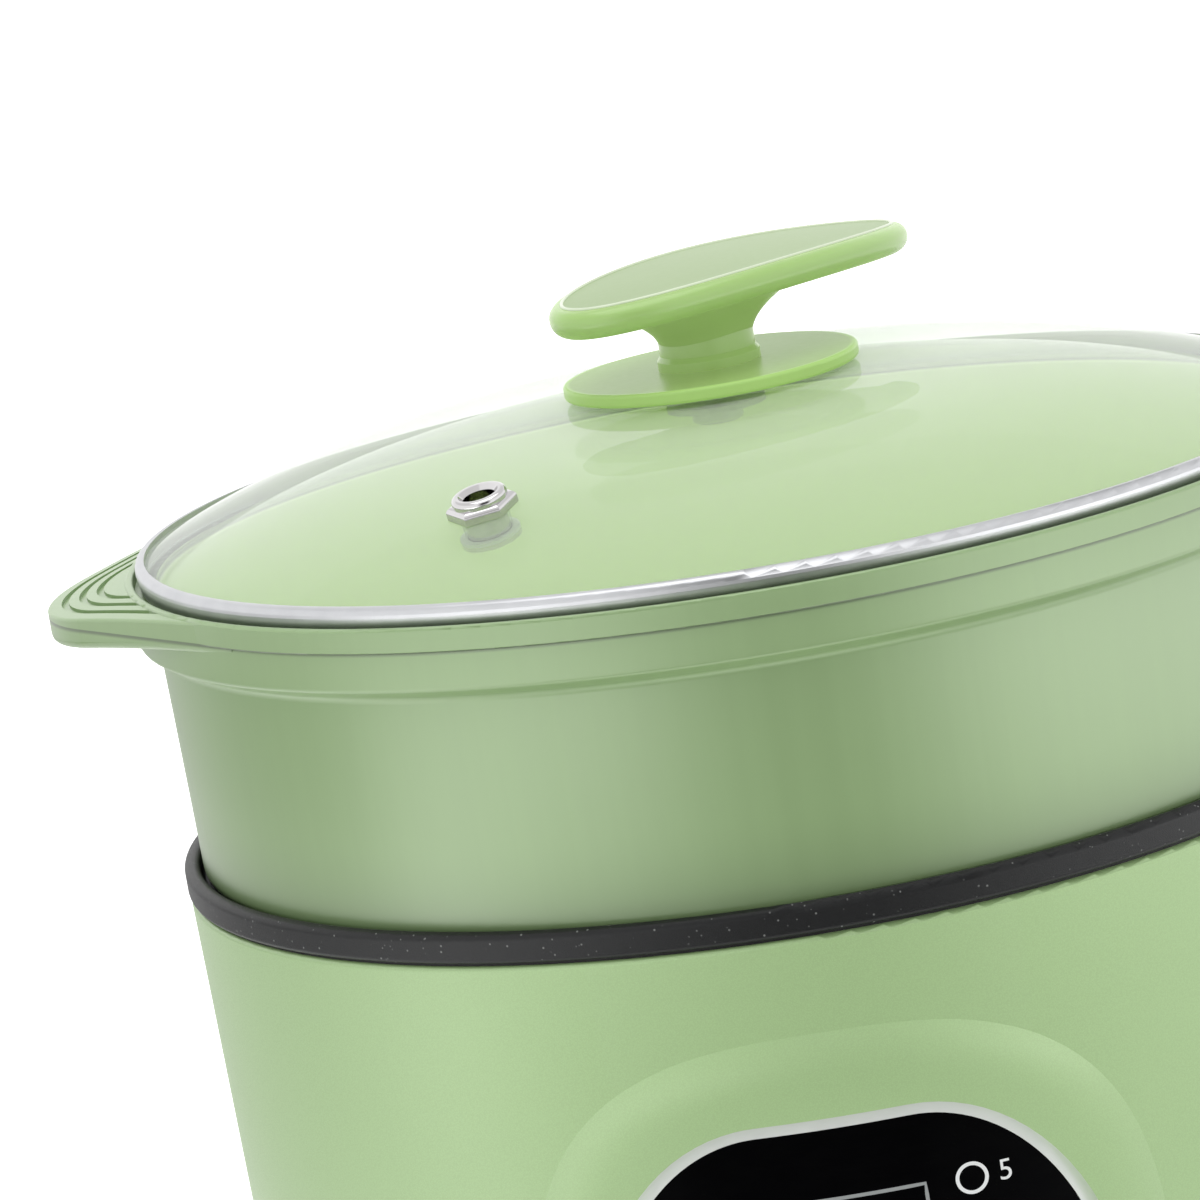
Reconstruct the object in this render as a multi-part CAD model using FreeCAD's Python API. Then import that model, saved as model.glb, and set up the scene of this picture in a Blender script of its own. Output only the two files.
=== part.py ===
"""Electric hot pot: heated body with inner pot, steamer tray and glass lid.

Millimetres, Z up, the pot's axis is Z, the feet stand on Z = 0 and the control panel faces -Y.
"""
import FreeCAD, Part
from FreeCAD import Vector
from math import acos, asin, cos, pi, radians, sin, sqrt, tan
import os

# Gaps between pieces
seat_gap = 0.3          # under a piece that lifts off its seat
fit_gap = 0.15          # round a piece that is dropped into its pocket
screw_gap = 0.1         # round a screw's shank

# Body shell
body_top_radius = 102.5
body_draft = 1.13       # degrees, the wall leans in towards the base
shell_height = 123.6
shell_wall = 2.5
shell_edge_round = 0.8

# Base cover, feet and the screws that hold the cover
foot_height = 4.0
foot_radius = 8.0
foot_ring_radius = 70.0
foot_pocket_depth = 1.0
foot_round = 1.2
cover_height = 10.0
cover_corner = 9.0
cover_floor = 2.5
spigot_height = 4.0
spigot_wall = 1.8
cover_post_radius = 5.0
cover_post_height = 8.0
boss_radius = 4.5
boss_height = 16.0
boss_setback = 16.5     # of the screws' ring inside the body's radius
base_screw_radius = 1.5
base_screw_length = 14.0
screw_head_radius = 3.0
screw_head_height = 2.0
head_pocket_depth = 4.5
air_slot_width = 3.0
air_slot_length = 14.0
air_slot_count = 16
air_slot_radius = 30.0

# Inner pot
pot_rim_overhang = 0.3  # of the pot's rim past the body
pot_rim_height = 5.0
pot_rim_width = 2.8
pot_rim_round = 1.35
pot_ledge = 2.0         # thickness of the flat ledge that the tray stands on
pot_ledge_width = 10.0
pot_lean = 10.5         # the pot's floor is this much smaller in radius than its mouth
pot_floor_top = 48.0
pot_floor = 4.0
pot_wall = 2.0
pot_corner = 16.0
seal_height = 0.5
seal_width = 2.0

# Heater stack under the pot
plate_radius = 61.0
plate_height = 6.0
tube_radius = 4.0
tube_ring_radius = 42.0
tube_gap_angle = 40.0
tube_end_height = 12.0
stud_count = 3
stud_radius = 2.0
stud_ring_radius = 54.0
stud_start_angle = 30.0
sleeve_radius = 4.0
sleeve_height = 9.2
shield_radius = 64.0
shield_thickness = 0.8
shield_rim = 5.0
nut_height = 3.0
nut_flat_width = 7.0
stud_tail = 1.5
sensor_radius = 5.0
sensor_height = 8.0
sensor_bore = 7.0
bracket_length = 34.0
bracket_width = 10.0
bracket_thickness = 1.0
bracket_ends = 4.0
thermostat_radius = 8.0
thermostat_height = 8.0
thermostat_x = -22.0
blade_width = 4.0
blade_thickness = 0.8
fuse_radius = 2.2
fuse_length = 14.0
fuse_x = 22.0

# Power board on the base cover
board_length = 92.0
board_depth = 58.0
board_thickness = 1.6
board_centre_y = 4.0
post_height = 5.5
post_radius = 3.5
board_screw_inset = 5.0
board_screw_radius = 1.2
board_screw_length = 4.5
relay_size = (19.0, 15.0, 9.5)
relay_place = (-30.0, 12.0)
transformer_size = (20.0, 17.0, 10.5)
transformer_place = (2.0, 8.0)
capacitor_radius = 4.0
capacitor_length = 14.0
capacitor_place = (30.0, -8.0)
terminal_size = (20.0, 8.0, 9.0)
terminal_place = (27.0, 22.0)

# Power inlet at the back
inlet_height = 34.0
inlet_width = 27.0
inlet_tall = 19.0
inlet_depth = 20.0
inlet_flange_width = 42.0
inlet_flange_tall = 24.0
inlet_flange = 2.0
inlet_sink = 0.3        # the flange's face lies this far inside the shell's surface
inlet_pad_wall = 2.5
inlet_wall = 1.8
inlet_back = 3.5
inlet_round = 2.5
pin_width = 2.0
pin_tall = 4.0
pin_length = 13.0
pin_tail = 6.0
pin_spacing = 7.0
pin_drop = 2.0
inlet_screw_x = 17.0
inlet_screw_radius = 1.3
inlet_screw_length = 4.0
inlet_screw_head = 1.0

# Control panel at the front
panel_height = 68.0     # height of the panel's centre
swell_height = 71.0     # height of the swell's centre
panel_flat = 12.2       # half of the straight top and bottom edges
panel_round_x = 30.3
panel_round_z = 40.5
swell_half_width = 50.5
swell_half_height = 51.2
swell_power = 2.7
swell_rise = 1.5
swell_crest = 0.84      # share of the outline at which the swell is highest
swell_fall = 0.35       # how fast it falls again towards the panel
swell_reach_angle = 37.0   # degrees each side, how far the swell's surface is worked out
swell_reach_height = 60.2
swell_steps = 28
bezel_width = 2.4
bezel_face_depth = 1.4
glass_face_depth = 1.9
glass_thickness = 2.0
pocket_depth = 4.9
pocket_floor = 1.5
pad_margin = 3.5
pad_corner = 24.0
bezel_ledge = 1.6
display_board_width = 46.0
display_board_tall = 72.0
display_board_setback = 11.8   # of the board's face behind the body's radius
display_boss_radius = 3.0
display_screw_radius = 1.0
display_screw_length = 3.4
display_screw_inset = 4.0
display_screw_tail = 1.6
display_screw_head = 1.2
module_width = 25.0
module_tall = 17.0
module_centre = 17.5    # above the panel's centre
module_gap = 1.0
icon_x = 20.3
icon_heights = (25.8, 14.2, 2.6, -9.0)
icon_hole_radius = 2.4
light_size = 2.4
touch_height = -24.0
touch_spacing = 15.5
touch_count = 3
touch_radius = 3.5
touch_wall = 0.6

# Side handle
handle_drop = 25.6      # the handle's axis meets the wall this far below the shell's top
handle_pad_width = 30.0
handle_pad_tall = 24.0
handle_pad_depth = 5.0
handle_slope = 5.0      # degrees
handle_wall = 2.4
handle_solid_root = 13.0
# distance from the wall, half width, half thickness of each section along the handle
handle_sections = ((-6.0, 19.0, 14.5), (6.0, 15.6, 11.8), (26.0, 12.4, 9.2), (64.0, 13.4, 9.2),
                   (100.0, 14.6, 9.4), (118.0, 12.6, 8.0), (124.0, 9.0, 5.6))
handle_screw_spacing = 7.0
handle_screw_radius = 1.9
handle_screw_length = 16.0
grip_screw_places = (24.0, 98.0)
grip_screw_radius = 1.4
grip_screw_length = 11.0
grip_boss_radius = 4.0

# Steamer tray
tray_gap = 0.6          # between the tray's foot and the pot's rim
tray_height = 52.7
tray_wall = 2.2
tray_floor = 2.2
tray_draft = 1.1        # degrees
tray_corner = 2.4
tray_inner_corner = 3.5
flange_radius = 104.1
flange_step = 0.6
flange_band = 4.1       # height of the upper band
flange_height = 10.4
flange_under = 1.8      # height of the slanted underside
flange_under_round = 0.9
flange_root_round = 1.6
lip_width = 1.4
lip_round = 0.5
rebate_depth = 2.0
drip_rib_setback = 5.0  # inside the pot's mouth
drip_rib_width = 1.6
drip_rib_height = 4.0
steam_row_counts = (8, 14, 20)
steam_row_radii = (26.0, 46.0, 66.0)
steam_slot_width = 3.6
steam_slot_length = 12.0
lug_turn = 3.0          # degrees, the tray stands turned this far
lug_tip = 124.8         # where the two straight sides would meet
lug_side_distance = 103.6   # of each straight side from the tray's axis
lug_thickness = 5.5
lug_step = 0.2          # the lug's top lies this far below the lip
lug_tip_round = 34.0
lug_droop = 10.0        # degrees
lug_top_round = 0.5
lug_under_round = 1.4
lug_grooves = (2.5, 5.6, 8.7)
lug_groove_width = 1.3
lug_groove_depth = 0.6

# Lid
ring_height = 4.6
ring_gap = 0.7
ring_sheet = 0.8
ring_top_width = 1.7
ring_under_width = 3.2
ring_top_round = 1.2
ring_under_round = 0.7
ring_waist = 1.7        # the ring's wall leans in from here down, measured from its top
ring_lean = 0.5
glass_dome_rise = 14.8
crown_radius = 800.0    # of the flat middle of the dome
crown_reach = 40.0      # where the crown meets the rounder shoulder
lid_glass_thickness = 3.5
glass_edge_round = 0.6
vent_distance = 72.2
vent_turn = 33.1        # degrees, from the front towards the left
vent_flat_width = 10.2
vent_hex_height = 2.0
vent_hex_round = 0.9
vent_collar_radius = 4.6
vent_collar_height = 1.3
vent_collar_round = 0.8
vent_mouth = 0.2
vent_bore = 2.7
vent_tube_radius = 3.6
vent_under_radius = 5.0
vent_under_height = 0.8
vent_washer_height = 0.5
vent_hole_gap = 0.4

# Lid knob
knob_disc_radius = 25.3
knob_disc_height = 2.3
knob_disc_lift = 0.5    # gasket thickness at the middle
knob_disc_round = 0.6
knob_neck_radius = 8.2
knob_neck_height = 12.3
knob_collar_radius = 8.8
knob_collar_height = 1.6
knob_length = 77.6
knob_width = 39.0
knob_thickness = 5.0
knob_arch = 2.4         # the top's two ends lie this far below its middle
knob_turn = 43.0        # degrees
knob_shift = 8.1        # the grip's middle lies off the axis, along its length
knob_top_round = 2.2
knob_under_round = 2.6
knob_flare_height = 9.0
knob_flare_length = 14.0
knob_flare_width = 7.5
knob_flare_steps = 5
insert_inset = 2.4
insert_edge = 1.0       # thickness of the insert at its ends
gasket_radius = 21.0
knob_screw_radius = 2.0
knob_screw_bore = 3.2
knob_screw_length = 17.0
knob_head_radius = 4.4
knob_head_height = 2.6
knob_washer_radius = 8.5
knob_washer_height = 1.0

# Wires
mains_wire_radius = 1.5
mains_wire_bend = 4.0
heater_wire_radius = 1.2
heater_wire_bend = 2.5
display_cable_radius = 1.6
display_cable_bend = 3.3

# Heights worked out from the sizes above
cover_top = foot_height + cover_height
shell_top = cover_top + shell_height
rim_bottom = shell_top + seal_height
ledge_top = rim_bottom + pot_ledge
rim_top = rim_bottom + pot_rim_height
pot_bottom = pot_floor_top - pot_floor
plate_bottom = pot_bottom - plate_height
shield_top = plate_bottom - sleeve_height
shield_bottom = shield_top - shield_thickness
nut_bottom = shield_bottom - nut_height
handle_height = shell_top - handle_drop
cover_floor_top = foot_height + cover_floor
board_bottom = cover_floor_top + post_height
board_top = board_bottom + board_thickness
tray_bottom = ledge_top + seat_gap
lip_top = tray_bottom + tray_height
rebate_floor = lip_top - rebate_depth
ring_bottom = rebate_floor + seat_gap
ring_top = ring_bottom + ring_height
glass_edge_top = ring_top - ring_sheet
glass_edge_bottom = ring_bottom + ring_sheet
dome_top = glass_edge_top + glass_dome_rise
dome_under = dome_top - lid_glass_thickness
disc_bottom = dome_top + knob_disc_lift
disc_top = disc_bottom + knob_disc_height
grip_bottom = disc_top + knob_neck_height
grip_top = grip_bottom + knob_thickness
insert_bottom = grip_top - knob_arch - insert_edge

# Radii worked out from the sizes above
boss_ring_radius = body_top_radius - boss_setback
display_board_plane = body_top_radius - display_board_setback
pot_rim_radius = body_top_radius + pot_rim_overhang
pot_opening_radius = pot_rim_radius - pot_rim_width
pot_mouth_radius = pot_opening_radius - pot_ledge_width
pot_floor_radius = pot_mouth_radius - pot_lean
drip_rib_radius = pot_mouth_radius - drip_rib_setback
tray_foot_radius = pot_opening_radius - tray_gap
rebate_radius = flange_radius - lip_width
ring_radius = rebate_radius - ring_gap
glass_radius = ring_radius - ring_sheet - fit_gap
dome_edge_radius = ring_radius - ring_top_width
crown_centre = dome_top - crown_radius
crown_lean = asin(crown_reach / crown_radius)
crown_edge = crown_centre + crown_radius * cos(crown_lean)
shoulder_run = dome_edge_radius - crown_reach
shoulder_fall = crown_edge - glass_edge_top
shoulder_radius = ((shoulder_run ** 2 + shoulder_fall ** 2)
                   / (2 * (shoulder_fall * cos(crown_lean) - shoulder_run * sin(crown_lean))))
shoulder_offset = crown_reach - shoulder_radius * sin(crown_lean)
shoulder_centre = crown_edge - shoulder_radius * cos(crown_lean)

UP = Vector(0, 0, 1)
AXIS = Vector(0, 0, 0)


def body_radius(z):
    """Outer radius of the drafted body wall at height z."""
    return body_top_radius - (shell_top - z) * tan(radians(body_draft))


def rounded_wire(corners, place):
    """Closed wire through corners (a, b) or (a, b, round), set in space by place(a, b)."""
    count = len(corners)
    starts = []
    ends = []
    middles = []
    for i, corner in enumerate(corners):
        here = Vector(corner[0], corner[1], 0)
        size = corner[2] if len(corner) > 2 else 0
        if not size:
            starts.append(here)
            ends.append(here)
            middles.append(None)
            continue
        before = (Vector(corners[i - 1][0], corners[i - 1][1], 0) - here).normalize()
        after_corner = corners[(i + 1) % count]
        after = (Vector(after_corner[0], after_corner[1], 0) - here).normalize()
        half = acos(max(-1.0, min(1.0, before.dot(after)))) / 2
        reach = size / tan(half)
        centre_way = (before + after).normalize()
        starts.append(here + before * reach)
        ends.append(here + after * reach)
        middles.append(here + centre_way * (size / sin(half) - size))
    edges = []
    for i in range(count):
        if middles[i]:
            points = [place(p.x, p.y) for p in (starts[i], middles[i], ends[i])]
            edges.append(Part.Arc(*points).toShape())
        after = starts[(i + 1) % count]
        if (after - ends[i]).Length > 1e-6:
            edges.append(Part.makeLine(place(ends[i].x, ends[i].y), place(after.x, after.y)))
    return Part.Wire(edges)


def turned(corners):
    """Solid of revolution about Z of a profile given as (radius, height) corners."""
    wire = rounded_wire(corners, lambda a, b: Vector(a, 0, b))
    return Part.Face(wire).revolve(AXIS, UP, 360)


def plate(corners, bottom, thickness):
    """Flat plate whose outline is given as (x, y) corners."""
    wire = rounded_wire(corners, lambda a, b: Vector(a, b, bottom))
    return Part.Face(wire).extrude(UP * thickness)


def facing_y(corners, y_low, y_high):
    """Prism along Y whose outline is given as (x, z) corners."""
    wire = rounded_wire(corners, lambda a, b: Vector(a, y_low, b))
    return Part.Face(wire).extrude(Vector(0, y_high - y_low, 0))


def rectangle(width, tall, centre_x=0, centre_y=0, corner=0):
    """Corners of a rectangle, for plate or facing_y."""
    x = width / 2
    y = tall / 2
    signs = ((-1, -1), (1, -1), (1, 1), (-1, 1))
    return [(centre_x + i * x, centre_y + j * y, corner) for i, j in signs]


def rod(radius, height, x=0, y=0, z=0, way=UP):
    """Cylinder that starts at (x, y, z)."""
    return Part.makeCylinder(radius, height, Vector(x, y, z), way)


def on_ring(radius, angle):
    """Point (x, y) on a circle, the angle in degrees from +X."""
    return radius * cos(radians(angle)), radius * sin(radians(angle))


def fused(shapes):
    """One solid from shapes that overlap or touch."""
    result = shapes[0]
    for shape in shapes[1:]:
        result = result.fuse(shape)
    return result.removeSplitter()


def write(node, shape):
    """Write a node, after testing that its solids are sound."""
    solids = shape.Solids
    for solid in solids:
        if not solid.isValid() or solid.Volume <= 0:
            raise ValueError("unsound solid in " + node)
    whole = solids[0] if len(solids) == 1 else Part.makeCompound(solids)
    whole.exportStep("parts/" + node + ".step")
    print(node, len(solids), round(whole.Volume), [round(v, 1) for v in (
        whole.BoundBox.XMin, whole.BoundBox.YMin, whole.BoundBox.ZMin,
        whole.BoundBox.XMax, whole.BoundBox.YMax, whole.BoundBox.ZMax)])


def coned(depth):
    """Solid cone that follows the body wall, this far inside its surface."""
    low = foot_height
    return Part.makeCone(body_radius(low) - depth, body_radius(shell_top) - depth, shell_top - low,
                         Vector(0, 0, low), UP)


def panel_prism(inset):
    """Prism along Y with the panel's outline: straight top and bottom, elliptical sides."""
    half_x = panel_round_x - inset
    half_z = panel_round_z - inset
    far = -body_top_radius - shell_wall
    near = -display_board_plane / 2
    edges = []
    for side in (1, -1):
        corner = Vector(side * panel_flat, far, panel_height)
        top = corner + UP * half_z * side
        bottom = corner - UP * half_z * side
        tip = corner + Vector(side * half_x, 0, 0)
        edges.append(half_ellipse(top, tip, bottom))
        edges.append(Part.makeLine(bottom, bottom - Vector(2 * side * panel_flat, 0, 0)))
    return Part.Face(Part.Wire(edges)).extrude(Vector(0, near - far, 0))


def half_ellipse(start, tip, end):
    """Half of an ellipse from start round tip to end."""
    centre = (start + end) * 0.5
    across = tip - centre
    along = start - centre
    if across.Length > along.Length:
        ellipse = Part.Ellipse(tip, start, centre)
        return Part.ArcOfEllipse(ellipse, -pi / 2, pi / 2).toShape()
    ellipse = Part.Ellipse(start, centre + across, centre)
    return Part.ArcOfEllipse(ellipse, 0, pi).toShape()


def swell_at(x, z):
    """Height of the swell round the panel over the body's surface, negative outside its edge."""
    across = (abs(x) / swell_half_width) ** swell_power
    along = (abs(z - swell_height) / swell_half_height) ** swell_power
    share = (across + along) ** (1 / swell_power)
    climb = (1 - share) / (1 - swell_crest)
    if climb < 0:
        return 2 * swell_rise * climb
    if climb < 1:
        return swell_rise * climb * (2 - climb)
    return swell_rise * (1 - swell_fall * (climb - 1) ** 2)


def panel_swell():
    """Low rounded swell that stands on the body wall round the panel."""
    rows = []
    for i in range(swell_steps + 1):
        angle = radians(swell_reach_angle * (2 * i / swell_steps - 1))
        row = []
        for j in range(swell_steps + 1):
            z = swell_height + swell_reach_height * (2 * j / swell_steps - 1)
            wall = body_radius(z)
            radius = wall + swell_at(wall * sin(angle), z)
            row.append(Vector(radius * sin(angle), -radius * cos(angle), z))
        rows.append(row)
    surface = Part.BSplineSurface()
    surface.interpolate(rows)
    return surface.toShape().extrude(Vector(0, body_top_radius / 2, 0)).cut(coned(shell_wall / 2))


def body_shell():
    """Moulded outer wall, with the panel's swell in front, the inlet's pocket behind and its bosses."""
    top = body_radius(shell_top)
    low = body_radius(cover_top)
    shell = turned([(low, cover_top), (top, shell_top, shell_edge_round),
                    (top - shell_wall, shell_top), (low - shell_wall, cover_top)])
    floor_depth = pocket_depth + pocket_floor
    pad_wide = 2 * (panel_flat + panel_round_x + pad_margin)
    pad_tall = 2 * (panel_round_z + pad_margin)
    pad = facing_y(rectangle(pad_wide, pad_tall, 0, panel_height, pad_corner),
                   -body_top_radius, -display_board_plane / 2)
    pad = pad.common(coned(shell_wall / 2)).cut(coned(floor_depth))
    solids = [shell, pad, panel_swell()]
    for x, z in display_screw_places():
        start = -sqrt((body_radius(z) - floor_depth + pocket_floor / 2) ** 2 - x ** 2)
        solids.append(rod(display_boss_radius, -display_board_plane - start, x, start, z, Vector(0, 1, 0)))
    for angle in boss_angles():
        x, y = on_ring(boss_ring_radius, angle)
        boss_low = foot_height + cover_post_height
        solids.append(rod(boss_radius, boss_height, x, y, boss_low))
        rib_low = cover_top + spigot_height + seat_gap
        rib_reach = body_radius(rib_low) - shell_wall / 2 - boss_ring_radius
        rib = plate(rectangle(rib_reach, shell_wall, boss_ring_radius + rib_reach / 2), rib_low,
                    boss_low + boss_height - rib_low)
        rib.rotate(AXIS, UP, angle)
        solids.append(rib)
    handle_pad = plate(rectangle(handle_pad_depth, handle_pad_width, handle_pad_x() + handle_pad_depth / 2),
                       handle_height - handle_pad_tall / 2, handle_pad_tall)
    solids.append(handle_pad.common(coned(shell_wall / 2)))
    inlet_pad = facing_y(rectangle(inlet_flange_width + 2 * inlet_pad_wall, inlet_flange_tall + 2 * inlet_pad_wall,
                                   0, inlet_height), inlet_seat_y() - inlet_pad_wall,
                         body_radius(inlet_height) - shell_wall / 2)
    solids.append(inlet_pad.common(coned(shell_wall / 2)))
    body = fused(solids)
    body = body.cut(panel_prism(-fit_gap).cut(coned(pocket_depth)))
    x, z = 0, panel_height + module_centre
    body = body.cut(facing_y(rectangle(module_width + 2 * module_gap, module_tall + 2 * module_gap, x, z),
                             -body_top_radius, -display_board_plane))
    for x, z in icon_places():
        body = body.cut(rod(icon_hole_radius, body_top_radius - display_board_plane, x, -body_top_radius, z,
                            Vector(0, 1, 0)))
    for x, z in touch_places():
        body = body.cut(rod(touch_radius + module_gap / 2, body_top_radius - display_board_plane, x,
                            -body_top_radius, z, Vector(0, 1, 0)))
    for x, z in display_screw_places():
        body = body.cut(rod(display_screw_radius + screw_gap, display_screw_length, x,
                            -display_board_plane - display_screw_length + display_screw_tail, z,
                            Vector(0, 1, 0)))
    for angle in boss_angles():
        x, y = on_ring(boss_ring_radius, angle)
        body = body.cut(rod(base_screw_radius + screw_gap, base_screw_length, x, y,
                            foot_height + head_pocket_depth + screw_gap))
    for z in handle_screw_heights():
        body = body.cut(rod(handle_screw_radius + screw_gap, 2 * handle_pad_depth, handle_pad_x(), 0, z,
                            Vector(1, 0, 0)))
    pocket = facing_y(rectangle(inlet_flange_width + 2 * fit_gap, inlet_flange_tall + 2 * fit_gap, 0,
                                inlet_height, inlet_round), inlet_seat_y(), body_top_radius)
    hole = facing_y(rectangle(inlet_width + 2 * fit_gap, inlet_tall + 2 * fit_gap, 0, inlet_height,
                              inlet_round), inlet_seat_y() - 2 * inlet_pad_wall, body_top_radius)
    body = body.cut(pocket).cut(hole)
    for x in (-inlet_screw_x, inlet_screw_x):
        body = body.cut(rod(inlet_screw_radius + screw_gap, inlet_pad_wall + inlet_screw_length, x,
                            inlet_seat_y() - inlet_pad_wall - inlet_screw_length, inlet_height,
                            Vector(0, 1, 0)))
    return body


def display_screw_places():
    """(x, z) of the display board's screws."""
    x = display_board_width / 2 - display_screw_inset
    z = display_board_tall / 2 - display_screw_inset
    return [(i * x, panel_height + j * z) for i in (-1, 1) for j in (-1, 1)]


def icon_places():
    """(x, z) of the indicator lights, in two columns."""
    return [(side * icon_x, panel_height + z) for side in (-1, 1) for z in icon_heights]


def touch_places():
    """(x, z) of the touch springs, in one row."""
    first = -(touch_count - 1) / 2
    return [((first + i) * touch_spacing, panel_height + touch_height) for i in range(touch_count)]


def boss_angles():
    """Directions of the screws that hold the base cover."""
    return [45 + 90 * i for i in range(4)]


def handle_pad_x():
    """Flat inner face of the shell's pad, where the handle screws' heads sit."""
    return body_radius(handle_height) - handle_pad_depth


def handle_screw_heights():
    """Heights of the two screws that hold the handle, one in each half."""
    return (handle_height - handle_screw_spacing, handle_height + handle_screw_spacing)


def inlet_face_y():
    """Outer face of the power inlet's flange, just inside the shell's surface."""
    return sqrt(body_radius(inlet_height) ** 2 - (inlet_flange_width / 2) ** 2) - inlet_sink


def inlet_seat_y():
    """Face of the shell's pocket that the inlet's flange lies on."""
    return inlet_face_y() - inlet_flange


def base_plate():
    """Base cover with a spigot inside the shell, posts for the board and pockets for feet and screws."""
    radius = body_radius(cover_top)
    spigot_out = radius - shell_wall - fit_gap
    spigot_in = spigot_out - spigot_wall
    cover = turned([(radius, cover_top), (radius, foot_height, cover_corner), (0, foot_height),
                    (0, cover_floor_top), (spigot_in, cover_floor_top, cover_corner - cover_floor),
                    (spigot_in, cover_top + spigot_height), (spigot_out, cover_top + spigot_height),
                    (spigot_out, cover_top)])
    posts = []
    for angle in boss_angles():
        x, y = on_ring(boss_ring_radius, angle)
        posts.append(rod(cover_post_radius, cover_post_height, x, y, foot_height))
    for x, y in board_screw_places():
        posts.append(rod(post_radius, board_bottom - foot_height, x, y, foot_height))
    cover = fused([cover] + posts)
    for angle in boss_angles():
        x, y = on_ring(boss_ring_radius, angle)
        cover = cover.cut(rod(screw_head_radius + fit_gap, head_pocket_depth, x, y, foot_height))
        cover = cover.cut(rod(base_screw_radius + screw_gap, cover_post_height, x, y, foot_height))
        x, y = on_ring(foot_ring_radius, angle)
        cover = cover.cut(rod(foot_radius + fit_gap, foot_pocket_depth, x, y, foot_height))
    for x, y in board_screw_places():
        cover = cover.cut(rod(board_screw_radius + screw_gap, board_screw_length, x, y,
                              board_bottom - board_screw_length + board_thickness))
    slots = []
    for i in range(air_slot_count):
        slot = plate(rectangle(air_slot_length, air_slot_width, air_slot_radius, 0, air_slot_width / 2.1),
                     foot_height - seat_gap, cover_floor + 2 * seat_gap)
        slot.rotate(AXIS, UP, 360 * i / air_slot_count)
        slots.append(slot)
    return cover.cut(Part.makeCompound(slots))


def board_screw_places():
    """(x, y) of the power board's screws."""
    x = board_length / 2 - board_screw_inset
    y = board_depth / 2 - board_screw_inset
    return [(i * x, board_centre_y + j * y) for i in (-1, 1) for j in (-1, 1)]


def rubber_feet():
    """Four feet pressed into the base cover's pockets."""
    feet = []
    for angle in boss_angles():
        x, y = on_ring(foot_ring_radius, angle)
        foot = rod(foot_radius, foot_height + foot_pocket_depth, x, y)
        low = [edge for edge in foot.Edges if edge.BoundBox.ZMax < foot_height / 2]
        feet.append(foot.makeFillet(foot_round, low))
    return Part.makeCompound(feet)


def screw(radius, length, head_radius, head_height, place, way):
    """Pan-head screw: the head's seat is at place, the shank runs along way."""
    way = Vector(way).normalize()
    head = Part.makeCylinder(head_radius, head_height, place - way * head_height, way)
    rim = head.Edges[0] if (head.Edges[0].CenterOfMass - place).Length > head_height / 2 else head.Edges[2]
    head = head.makeFillet(head_height / 3, [rim])
    shank = Part.makeCylinder(radius, length + head_height / 2, place - way * head_height / 2, way)
    slot = head_height / 2.5
    recess = Part.makeCylinder(head_radius / 2.2, slot, place - way * head_height, way)
    return fused([head, shank]).cut(recess)


def base_screws():
    """Four screws from below, through the base cover into the shell's bosses."""
    seat = foot_height + head_pocket_depth
    places = [on_ring(boss_ring_radius, angle) for angle in boss_angles()]
    return Part.makeCompound([screw(base_screw_radius, base_screw_length - screw_head_height, screw_head_radius,
                                    screw_head_height, Vector(x, y, seat), UP) for x, y in places])


def rim_seal():
    """Silicone ring between the shell's top edge and the pot's rim."""
    out = body_radius(shell_top) - shell_edge_round
    return turned([(out, shell_top), (out, rim_bottom), (out - seal_width, rim_bottom),
                   (out - seal_width, shell_top)])


def inner_pot():
    """Pressed pot: flat floor, leaning wall, flat ledge for the tray and a raised round rim."""
    slope = (pot_mouth_radius - pot_floor_radius) / (ledge_top - pot_floor_top)
    low_out = pot_floor_radius + pot_wall - slope * pot_floor
    high_out = pot_mouth_radius + pot_wall - slope * pot_ledge
    rim_foot_round = 0.8
    mouth_round = 1.2
    return turned([(0, pot_floor_top), (pot_floor_radius, pot_floor_top, pot_corner),
                   (pot_mouth_radius, ledge_top, mouth_round), (pot_opening_radius, ledge_top, rim_foot_round),
                   (pot_opening_radius, rim_top, pot_rim_round), (pot_rim_radius, rim_top, pot_rim_round),
                   (pot_rim_radius, rim_bottom, rim_foot_round), (high_out, rim_bottom, mouth_round),
                   (low_out, pot_bottom, pot_corner + pot_wall), (0, pot_bottom)])


def stud_places():
    """(x, y) of the studs under the pot."""
    return [on_ring(stud_ring_radius, stud_start_angle + 360 * i / stud_count) for i in range(stud_count)]


def pot_studs():
    """Threaded studs welded to the pot's floor."""
    tail = nut_bottom - stud_tail
    return Part.makeCompound([rod(stud_radius, pot_bottom - tail, x, y, tail) for x, y in stud_places()])


def heater_plate():
    """Aluminium disc that spreads the heat, with a groove for the element."""
    disc = rod(plate_radius, plate_height, 0, 0, plate_bottom)
    disc = disc.cut(rod(sensor_bore, plate_height, 0, 0, plate_bottom))
    groove = Part.makeTorus(tube_ring_radius, tube_radius + fit_gap, Vector(0, 0, plate_bottom), UP)
    disc = disc.cut(groove)
    for x, y in stud_places():
        disc = disc.cut(rod(stud_radius + seat_gap, plate_height, x, y, plate_bottom))
    return disc


def tube_ends():
    """(x, y) of the element's two ends, at the back."""
    half = tube_gap_angle / 2
    return [on_ring(tube_ring_radius, 90 - half), on_ring(tube_ring_radius, 90 + half)]


def heating_element():
    """Tubular element: most of a ring, with both ends turned down."""
    circle = Part.Wire(Part.makeCircle(tube_radius, Vector(tube_ring_radius, 0, plate_bottom), Vector(0, 1, 0)))
    ring = Part.Face(circle).revolve(AXIS, UP, 360 - tube_gap_angle)
    ring.rotate(AXIS, UP, 90 + tube_gap_angle / 2)
    ends = [rod(tube_radius - fit_gap, tube_end_height, x, y, plate_bottom - tube_end_height)
            for x, y in tube_ends()]
    knuckles = [Part.makeSphere(tube_radius, Vector(x, y, plate_bottom)) for x, y in tube_ends()]
    return fused([ring] + knuckles + ends)


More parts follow.
